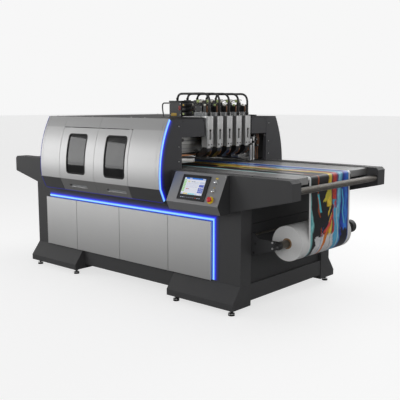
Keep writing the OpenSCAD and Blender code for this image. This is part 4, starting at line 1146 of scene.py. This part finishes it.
# %% The print
RIBBONS = [
    (0.00, (0.02, 0.36, 0.46)), (0.06, (0.28, 0.70, 0.70)), (0.10, (0.006, 0.006, 0.008)),
    (0.24, (0.004, 0.004, 0.006)), (0.26, (0.55, 0.10, 0.02)), (0.28, (0.006, 0.005, 0.010)),
    (0.44, (0.008, 0.006, 0.010)), (0.46, (0.88, 0.58, 0.03)), (0.54, (0.90, 0.70, 0.10)),
    (0.56, (0.010, 0.012, 0.05)), (0.60, (0.78, 0.06, 0.03)), (0.64, (0.05, 0.06, 0.25)),
    (0.68, (0.30, 0.68, 0.84)), (0.74, (0.10, 0.46, 0.80)), (0.77, (0.010, 0.02, 0.22)),
    (0.86, (0.012, 0.07, 0.60)), (0.93, (0.04, 0.28, 0.86)), (0.98, (0.008, 0.03, 0.36)),
]
STROKES = [
    # across, along, slope, sway, width, length, colour
    (0.200, 3.60, 0.00, 0.030, 0.300, 0.28, (0.74, 0.74, 0.78)),
    (0.445, 3.56, 0.00, 0.010, 0.090, 0.22, (0.003, 0.004, 0.018)),
    (0.440, 3.66, 0.00, 0.012, 0.080, 0.09, (0.66, 0.70, 0.82)),
    (0.335, 3.48, 0.02, 0.014, 0.050, 0.44, (0.10, 0.46, 0.74)),
    (0.350, 3.42, 0.05, 0.012, 0.012, 0.30, (0.55, 0.80, 0.92)),
    (0.160, 3.36, -0.90, 0.010, 0.090, 0.16, (0.004, 0.005, 0.010)),
    (0.120, 3.25, 0.30, 0.010, 0.022, 0.14, (0.10, 0.62, 0.74)),
    (0.230, 3.20, -0.55, 0.010, 0.060, 0.09, (0.88, 0.66, 0.06)),
    (0.255, 3.34, -0.80, 0.012, 0.034, 0.13, (0.004, 0.006, 0.03)),
    (0.245, 3.40, -0.75, 0.012, 0.040, 0.12, (0.74, 0.06, 0.07)),
    (0.200, 3.54, -0.38, 0.020, 0.030, 0.26, (0.86, 0.20, 0.01)),
    (0.155, 3.50, -0.30, 0.012, 0.007, 0.20, (0.05, 0.09, 0.50)),
    (0.280, 3.56, -0.10, 0.024, 0.007, 0.24, (0.08, 0.08, 0.14)),
    (0.150, 3.43, 1.60, 0.006, 0.012, 0.06, (0.010, 0.008, 0.008)),
    (0.420, 3.30, 0.10, 0.010, 0.016, 0.26, (0.10, 0.55, 0.90)),
    (0.300, 2.60, 0.02, 0.012, 0.030, 0.60, (0.80, 0.82, 0.90)),
    (0.180, 2.45, 0.05, 0.012, 0.026, 0.50, (0.92, 0.74, 0.30)),
    (0.120, 2.75, -0.03, 0.010, 0.022, 0.40, (0.90, 0.86, 0.76)),
    (0.400, 2.30, -0.02, 0.010, 0.020, 0.60, (0.42, 0.50, 0.90)),
    (0.330, 1.95, 0.00, 0.010, 0.050, 0.55, (0.92, 0.50, 0.04)),
]


def make_print():
    """White film with brush strokes between two bare margins."""
    material, tree, shader = new_material("printed_film")
    place = add(tree, "ShaderNodeTexCoord")
    seat = add(tree, "ShaderNodeSeparateXYZ", {0: place.outputs["UV"]})
    across, along = seat.outputs[0], seat.outputs[1]
    rough = noise(tree, {"Vector": place.outputs["UV"], "Scale": 26.0, "Detail": 4.0,
                         "Roughness": 0.62})
    fray = math_node(tree, "SUBTRACT", rough, 0.5)
    slow = noise(tree, {"Vector": place.outputs["UV"], "Scale": 5.0, "Detail": 1.0})
    sway = math_node(tree, "SUBTRACT", slow, 0.5)
    paper = noise(tree, {"Vector": place.outputs["UV"], "Scale": 900.0, "Detail": 1.0})
    bare = ramp(tree, paper, [(0.3, rgb(0.80)), (0.7, rgb(0.86))])
    wander = add(tree, "ShaderNodeCombineXYZ",
                 {0: math_node(tree, "MULTIPLY", across, 1.6), 1: along})
    swirl = noise(tree, {"Vector": wander.outputs[0], "Scale": 2.6, "Detail": 3.0,
                         "Distortion": 0.6})
    spread = math_node(tree, "MULTIPLY_ADD", swirl, 0.34, -0.17)
    place_across = math_node(tree, "MULTIPLY_ADD", across, 1.0 / 0.512, spread)
    place_across = math_node(tree, "MULTIPLY_ADD", fray, 0.05, place_across)
    color = ramp(tree, place_across, [(at, rgb(*ink)) for at, ink in RIBBONS])
    shimmer = remap(tree, rough, 0.3, 0.7, 0.7, 1.25)
    shimmered = scaled(tree, color, shimmer)
    color = shimmered
    for middle, centre, slope, swing, width, length, ink in STROKES:
        there = math_node(tree, "SUBTRACT", along, centre)
        line = math_node(tree, "MULTIPLY_ADD", there, slope, middle)
        line = math_node(tree, "MULTIPLY_ADD", sway, swing * 8.0, line)
        off = math_node(tree, "ABSOLUTE", math_node(tree, "SUBTRACT", across, line))
        edge = math_node(tree, "MULTIPLY_ADD", fray, width * 0.8, off)
        body = remap(tree, edge, width * 0.5, width * 0.5 - 0.0025)
        far = math_node(tree, "MULTIPLY_ADD", fray, length * 0.5,
                        math_node(tree, "ABSOLUTE", there))
        ends = remap(tree, far, length * 0.5, length * 0.5 - 0.01)
        mask = math_node(tree, "MULTIPLY", body, ends)
        streak = mix_color(tree, rough, rgb(*[c * 0.6 for c in ink]),
                           rgb(*[min(1.0, c * 1.35 + 0.004) for c in ink]))
        color = mix_color(tree, mask, color, streak)
    near = remap(tree, across, 0.018, 0.020)
    far_edge = remap(tree, across, 0.494, 0.492)
    begun = remap(tree, along, PRINT_START, PRINT_START + 0.002)
    inside = math_node(tree, "MULTIPLY", near, far_edge)
    inside = math_node(tree, "MULTIPLY", inside, begun)
    color = mix_color(tree, inside, bare, color)
    tree.links.new(color, shader.inputs["Base Color"])
    gloss = remap(tree, rough, 0.0, 1.0, 0.26, 0.42)
    tree.links.new(gloss, shader.inputs["Roughness"])
    shader.inputs["Specular IOR Level"].default_value = 0.35
    relief = add(tree, "ShaderNodeBump", {"Height": paper, "Strength": 0.04, "Distance": 0.0005})
    tree.links.new(relief.outputs[0], shader.inputs["Normal"])
    return material


printed_film = make_print()
print("print made of", len(STROKES), "strokes")


# %% The sheet
def make_web():
    """The web as a thin closed sheet swept across its width."""
    mesh = bpy.data.meshes.new("printed_web")
    bm = bmesh.new()
    uv = bm.loops.layers.uv.new("sheet")
    stations = [WEB_LOW_Y, WEB_HIGH_Y]
    rows = [[bm.verts.new((x, y, z)) for x, z in route] for route in (INNER, OUTER)
            for y in stations]
    inner_low, inner_high, outer_low, outer_high = rows
    width = WEB_HIGH_Y - WEB_LOW_Y

    def strip(one, two, across_one, across_two):
        for k in range(len(one) - 1):
            face = bm.faces.new((one[k], one[k + 1], two[k + 1], two[k]))
            spots = ((across_one, k), (across_one, k + 1), (across_two, k + 1), (across_two, k))
            for loop, (s, j) in zip(face.loops, spots):
                loop[uv].uv = (s, ALONG[j])

    strip(outer_low, outer_high, 0.0, width)
    strip(inner_high, inner_low, 0.005, 0.006)
    strip(inner_low, outer_low, 0.005, 0.006)
    strip(outer_high, inner_high, 0.005, 0.006)
    for k in (0, -1):
        bm.faces.new((inner_low[k], outer_low[k], outer_high[k], inner_high[k]))
    bmesh.ops.recalc_face_normals(bm, faces=bm.faces[:])
    bm.to_mesh(mesh)
    bm.free()
    mesh.materials.append(printed_film)
    for p in mesh.polygons:
        p.use_smooth = True
    mesh.set_sharp_from_angle(angle=math.radians(40))
    piece = bpy.data.objects.new("printed_web", mesh)
    bpy.context.scene.collection.objects.link(piece)
    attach(piece, "root")
    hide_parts("media_web")
    return piece


web = make_web()

# %% [markdown]
# ## Details on the frame's own shapes
# Bolts, ribs, rails and vents give the big panels their scale. Each group is one piece: thin
# blocks and turned heads laid on a surface that the frame already has, so nothing needs to be
# cut into it. Some places come from the nodes' own boxes, and the rest are written here.

# %% The console's side face, darkened by a plate: painted shade
def side_shade_plate(node_name, x, thick, finish, name):
    """A thin plate over a node's end face, with that face's own outline, to paint shade on it."""
    corners = {(round(v.co.y, 5), round(v.co.z, 5)) for v in nodes[node_name].data.vertices
               if abs(v.co.x - x) < 0.0005}
    centre = [sum(c[k] for c in corners) / len(corners) for k in range(2)]
    ordered = sorted(corners, key=lambda c: math.atan2(c[1] - centre[1], c[0] - centre[0]))
    hull = []
    for c in ordered + ordered[:2]:
        while len(hull) > 1 and (
            (hull[-1][0] - hull[-2][0]) * (c[1] - hull[-2][1])
            - (hull[-1][1] - hull[-2][1]) * (c[0] - hull[-2][0])
        ) <= 0:
            hull.pop()
        hull.append(c)
    hull = list(dict.fromkeys(hull))
    shop = Workshop()
    bm = bmesh.new()
    low = [bm.verts.new((x + 0.0001, y, z)) for y, z in hull]
    high = [bm.verts.new((x + thick, y, z)) for y, z in hull]
    bm.faces.new(low)
    bm.faces.new(high[::-1])
    for k in range(len(hull)):
        m = (k + 1) % len(hull)
        bm.faces.new((low[k], low[m], high[m], high[k]))
    edges = [e for e in bm.edges if all(v in high for v in e.verts)]
    bmesh.ops.bevel(bm, geom=edges, offset=thick * 0.6, segments=2, affect="EDGES")
    shop.take(bm, finish)
    return shop.done(name, "root")


# Painted shade: a dark plate makes the console's side face read darker than its front.
side_shade_plate("console_housing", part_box("console_housing")[1][0], 0.0015, end_grey, "console_side_shade")

# %% Beam, rails and brackets inside the arch
shop = Workshop()
BEAM_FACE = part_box("gantry_beam")[1][0]
for y0, y1 in ((-0.485, -0.226), (0.288, 0.485)):
    for z, tall, finish in ((1.1165, 0.0035, bolt_steel), (1.090, 0.004, machine_grey),
                            (1.064, 0.002, black_plastic), (1.036, 0.004, machine_grey),
                            (1.016, 0.002, black_plastic)):
        shop.block((BEAM_FACE + 0.0001, y0, z - tall / 2), (BEAM_FACE + 0.0018, y1, z + tall / 2),
                   finish, 0.0005)
    shop.block((BEAM_FACE + 0.0002, y0, 0.9985), (BEAM_FACE + 0.014, y1, 1.0080), satin_black,
               0.002)
    shop.block((BEAM_FACE - 0.030, y0, 0.9830), (BEAM_FACE + 0.010, y1, 0.9940), copper, 0.001)
    shop.block((BEAM_FACE - 0.060, y0, 0.9900), (BEAM_FACE + 0.004, y1, 0.9998), black_plastic,
               0.001)
    shop.block((BEAM_FACE - 0.075, y0, 0.9320), (BEAM_FACE - 0.004, y1, 0.9660), rail_alloy, 0.002)
for y0 in (0.3300, 0.3650):
    shop.block((0.398, y0, 0.912), (0.414, y0 + 0.016, 1.098), column_alloy, 0.0015)
for k, (y, z) in enumerate(((0.318, 1.082), (0.350, 1.096), (0.384, 1.066), (0.322, 1.034),
                            (0.356, 1.048), (0.398, 1.020))):
    shop.block((0.396 + 0.004 * (k % 3), y, z), (0.424, y + 0.024, z + 0.016), satin_black, 0.002)
    shop.bolt((0.4242, y + 0.012, z + 0.008), (1, 0, 0), 0.0035, bolt_steel)
for k in range(4):
    shop.tube(path_points([(0.410, 0.400 + 0.010 * k, 1.118), (0.424, 0.404 + 0.008 * k, 1.060),
                           (0.404, 0.392 + 0.012 * k, 1.000), (0.410, 0.400 + 0.010 * k, 0.920)],
                          0.05, 5), 0.0028, (satin_black, tan_cable)[k % 2], 8)
shop.done("beam_rails", "root")

# %% Painted shade between the columns
shop = Workshop()
# Painted shade: black plates in the gaps and strips beside each column stand for the shadow there.
for k in range(4):
    y0, y1 = HEAD_Y[k] + 0.0315, HEAD_Y[k + 1] - 0.0315
    shop.block((0.3935, y0, 1.044), (0.3985, y1, 1.260), black_plastic, 0.0015)
    shop.block((0.3985, y0 + 0.004, 1.060), (0.4040, y0 + 0.014, 1.240), satin_black, 0.001)
shop.block((0.3935, HEAD_Y[0] - 0.052, 1.125), (0.3985, HEAD_Y[0] - 0.0315, 1.250),
           black_plastic, 0.0015)
for y in HEAD_Y:
    shop.block((0.4300, y + 0.0314, 1.100), (0.4420, y + 0.0385, 1.262), satin_black, 0.001)
shop.block((0.4466, -0.2470, 1.125), (0.4474, -0.2395, 1.252), satin_black, 0.0003)
shop.block((0.4466, -0.2390, 1.110), (0.4472, -0.2235, 1.258), machine_grey, 0.0003)
shop.done("column_gap_shade", "root")

# %% Arch marks and bolts
shop = Workshop()
ARCH_Z = 1.123
for k in range(4):
    shop.block((0.4455, -0.452 + 0.058 * k, ARCH_Z - 0.0005),
               (0.4472, -0.420 + 0.058 * k, ARCH_Z + 0.0045), satin_black, 0.0005)
for y in (-0.478, 0.470):
    shop.turned([(0, 0.011), (0.006, 0.011), (0.0085, 0.009), (0.0085, 0.0001)], satin_black,
                (0.4360, y + 0.004, ARCH_Z - 0.018), (1, 0, 0), 20)
for side in (-1, 1):
    for z in (0.960, 1.060, 1.200):
        shop.bolt((0.4466, side * 0.520, z), (1, 0, 0), 0.0042, bolt_steel)
        shop.bolt((-0.8796, side * 0.520, z), (-1, 0, 0), 0.0042, bolt_steel)
    for y in (0.10, 0.30):
        shop.bolt((-0.8796, side * y, 1.200), (-1, 0, 0), 0.0042, bolt_steel)
for y0, y1 in ((-0.486, -0.2505), (0.2995, 0.486)):
    for y in (y0 + 0.014, y1 - 0.014):
        shop.bolt((0.4456, y, 1.236), (1, 0, 0), 0.0036, satin_black)
shop.block((0.300, 0.402, 1.2541), (0.372, 0.462, 1.2660), satin_black, 0.002)
shop.done("arch_fittings", "root")

# %% Roll arms
shop = Workshop()
ARM_Y = 0.4352
for sign, axis_x in ((1, FULL_ROLL_X), (-1, SPENT_ROLL_X)):
    for side in (-1, 1):
        out = (0, side, 0)
        for dx, dz in ((-0.044, 0.015), (-0.044, -0.024)):
            shop.bolt((axis_x + sign * dx, side * ARM_Y, ROLL_Z + dz), out, 0.0072, bolt_steel)
        for dx, dz in ((-0.178, -0.010), (-0.192, -0.071)):
            shop.turned([(0, 0.0075), (0.0008, 0.0075), (0.0008, 0.0055), (0.0002, 0.0001)],
                        satin_black, (axis_x + sign * dx, side * ARM_Y, ROLL_Z + dz), out, 18)
    shop.turned([(0, 0.026), (0.010, 0.026), (0.016, 0.022), (0.016, 0.010), (0.012, 0.0001)],
                satin_black, (axis_x, -ARM_Y, ROLL_Z), (0, -1, 0), 32)
shop.done("arm_fittings", "root")

# %% Ribs of the cross bars
shop = Workshop()
BAR_X, BAR_Z, BAR_R = 1.390, 0.834, 0.0205
for sign in (-1, 1):
    for k in range(18):
        a = 2 * math.pi * (k + 0.5) / 18
        x, z = sign * BAR_X + BAR_R * math.cos(a), BAR_Z + BAR_R * math.sin(a)
        shop.tube([(x, -0.488, z), (x, 0.488, z)], 0.0011, bar_steel if k % 2 else satin_black, 6)
    for side in (-1, 1):
        shop.turned([(0, 0.0235), (0.006, 0.0235), (0.008, 0.0225), (0.008, BAR_R + 0.0005)],
                    satin_black, (sign * BAR_X, side * 0.4905, BAR_Z), (0, -side, 0), 28)
shop.done("bar_ribs", "root")

# %% Bed seams and fasteners
shop = Workshop()
for side in (-1, 1):
    shop.block((-1.326, side * 0.4905 - 0.0012, 0.9004), (1.326, side * 0.4905 + 0.0012, 0.9032),
               satin_black, 0.0003)
    shop.block((-1.326, side * 0.450 - 0.0022, 0.9001), (1.326, side * 0.450 + 0.0022, 0.9012),
               rail_alloy, 0.0004)
    for k in range(12):
        x = -1.25 + 2.5 * k / 11
        if x < -0.87 or x > 0.47:
            shop.bolt((x, side * 0.4575, 0.9030), (0, 0, 1), 0.0032, bolt_steel)
    for x in (-1.38, 1.38):
        shop.block((x - 0.004, side * 0.5008, 0.828), (x + 0.010, side * 0.5012, 0.842),
                   satin_black, 0.0001)
    for k in range(5):
        shop.bolt((0.52 + 0.19 * k, side * 0.541, 0.9081), (0, 0, 1), 0.0038, satin_black)
        shop.bolt((-1.34 + 0.10 * k, side * 0.541, 0.9081), (0, 0, 1), 0.0038, satin_black)
shop.done("bed_fittings", "root")

# %% Levelling feet
shop = Workshop()
feet = {}
for v in nodes["levelling_feet"].data.vertices:
    key = (round(v.co.x / 0.2), round(v.co.y / 0.2))
    feet.setdefault(key, []).append(v.co)
for points in feet.values():
    x = (min(p.x for p in points) + max(p.x for p in points)) / 2
    y = (min(p.y for p in points) + max(p.y for p in points)) / 2
    shop.turned([(0.0, 0.0135), (0.008, 0.0135), (0.0085, 0.0125), (0.0085, 0.0062)], bolt_steel,
                (x, y, 0.026), (0, 0, 1), 6)
    shop.turned([(0.0, 0.0225), (0.0015, 0.0225), (0.003, 0.0215), (0.003, 0.0070)], bolt_steel,
                (x, y, 0.0125), (0, 0, 1), 28)
shop.done("foot_nuts", "root")
print("feet:", len(feet))

# %% Service side
shop = Workshop()
BACK_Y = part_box("base_shell")[1][1]
for x0 in (-0.86, -0.24, 0.38):
    x1 = x0 + 0.46
    shop.block((x0, BACK_Y - 0.0005, 0.215), (x1, BACK_Y + 0.0022, 0.610), end_grey, 0.0012)
    for x in (x0 + 0.018, x1 - 0.018):
        for z in (0.233, 0.592):
            shop.bolt((x, BACK_Y + 0.0022, z), (0, 1, 0), 0.0055, bolt_steel)
    for k in range(9):
        z = 0.285 + 0.016 * k
        tilt = Matrix.Translation((0, BACK_Y + 0.0030, z)) @ Matrix.Rotation(math.radians(-28), 4,
                                                                            "X")
        shop.block((x0 + 0.09, -0.002, -0.0045), (x1 - 0.09, 0.0015, 0.0045), charcoal, 0.0008,
                   tilt)
    shop.block((x1 - 0.072, BACK_Y + 0.0022, 0.395), (x1 - 0.050, BACK_Y + 0.0070, 0.440),
               black_plastic, 0.002)
shop.block((0.88, BACK_Y - 0.0005, 0.470), (0.96, BACK_Y + 0.0060, 0.570), machine_grey, 0.002)
shop.turned([(0, 0.024), (0.006, 0.024), (0.008, 0.022), (0.008, 0.0001)], black_plastic,
            (0.920, BACK_Y + 0.0060, 0.520), (0, 1, 0), 32)
shop.block((0.914, BACK_Y + 0.0140, 0.498), (0.926, BACK_Y + 0.0240, 0.542), black_plastic, 0.002)
shop.done("service_panels", "root")

# %% Back cover vents
shop = Workshop()
for x0 in (-0.76, -0.12):
    for k in range(8):
        z = 0.965 + 0.020 * k
        point, outward = hood_edge(z, 0.0)
        tilt = Matrix.Translation((0, -point.x, z)) @ Matrix.Rotation(
            math.atan2(outward.y, -outward.x) - 0.35, 4, "X")
        shop.block((x0, -0.003, -0.0045), (x0 + 0.36, 0.0015, 0.0045), end_grey, 0.001, tilt)
for x in (-0.860, -0.260, 0.427):
    for z in (0.76, 1.19):
        point, outward = hood_edge(z, -0.0002)
        shop.bolt((x, -point.x, z), (0, -outward.x, outward.y), 0.0048, bolt_steel)
for x in (-0.84, -0.41, 0.02, 0.16):
    for y in (-0.56, 0.56):
        shop.bolt((x, y, 1.2541), (0, 0, 1), 0.0048, bolt_steel)
shop.done("back_vents", "root")
print("service side ready")

# %% [markdown]
# ## Studio
# The floor is pale and matt. The sky round the machine is bright at the horizon and darker
# overhead: satin metal shows what it faces, so the hood is bright where its skin looks at the
# horizon and darker where it turns up; painted shade in the silver coats adds to this. The floor
# and the sky are lifted for the camera only, so they look white without lighting the machine
# more. Soft boxes add one broad highlight from the left. The plain view transform keeps the blue
# of the light strips clean.

# %% Floor and lamps
floor_mesh = bpy.data.meshes.new("floor")
floor_mesh.from_pydata([(-60, -60, 0), (60, -60, 0), (60, 60, 0), (-60, 60, 0)], [], [(0, 1, 2, 3)])
floor = bpy.data.objects.new("floor", floor_mesh)
bpy.context.scene.collection.objects.link(floor)
floor_finish, floor_tree, floor_shader = new_material("studio_floor")
floor_shader.inputs["Base Color"].default_value = rgb(0.42)
floor_shader.inputs["Roughness"].default_value = 0.9
floor_shader.inputs["Specular IOR Level"].default_value = 0.1
floor_shader.inputs["Emission Color"].default_value = rgb(1.0)
seen = add(floor_tree, "ShaderNodeLightPath")
lifted = math_node(floor_tree, "MULTIPLY", seen.outputs["Is Camera Ray"], 0.70)
floor_tree.links.new(lifted, floor_shader.inputs["Emission Strength"])
floor_mesh.materials.append(floor_finish)


def soft_box(name, place, target, size, power):
    """A large area lamp aimed at a point."""
    lamp_data = bpy.data.lights.new(name, "AREA")
    lamp_data.shape = "RECTANGLE"
    lamp_data.size, lamp_data.size_y = size
    lamp_data.energy = power
    lamp = bpy.data.objects.new(name, lamp_data)
    lamp.location = place
    aim = Vector(target) - Vector(place)
    lamp.rotation_euler = aim.to_track_quat("-Z", "Y").to_euler()
    bpy.context.scene.collection.objects.link(lamp)
    return lamp


soft_box("front_left_box", (-3.6, -3.6, 1.55), (-0.4, -0.6, 1.0), (3.0, 1.8), 42)
soft_box("front_right_box", (3.6, -3.4, 2.6), (0.6, 0.0, 0.8), (2.0, 2.0), 26)
soft_box("top_box", (0.6, 0.2, 4.2), (0.3, 0.0, 0.8), (3.6, 2.6), 26)
soft_box("back_box", (0.8, 4.2, 2.6), (0.0, 0.4, 0.8), (3.2, 2.0), 60)

# %% Sky
world = bpy.data.worlds.new("studio")
world.use_nodes = True
bpy.context.scene.world = world
sky = world.node_tree
backdrop = sky.nodes["Background"]
look = add(sky, "ShaderNodeTexCoord")
height = add(sky, "ShaderNodeSeparateXYZ", {0: look.outputs["Generated"]})
tone = ramp(sky, height.outputs[2], [(0.0, rgb(0.86)), (0.2, rgb(0.84)), (0.36, rgb(0.36)),
                                     (0.7, rgb(0.20)), (1.0, rgb(0.18))])
looking = add(sky, "ShaderNodeLightPath")
clear = mix_color(sky, looking.outputs["Is Camera Ray"], tone, rgb(0.93))
sky.links.new(clear, backdrop.inputs["Color"])
backdrop.inputs["Strength"].default_value = 1.0
bpy.context.scene.view_settings.view_transform = "Standard"
print("studio ready")
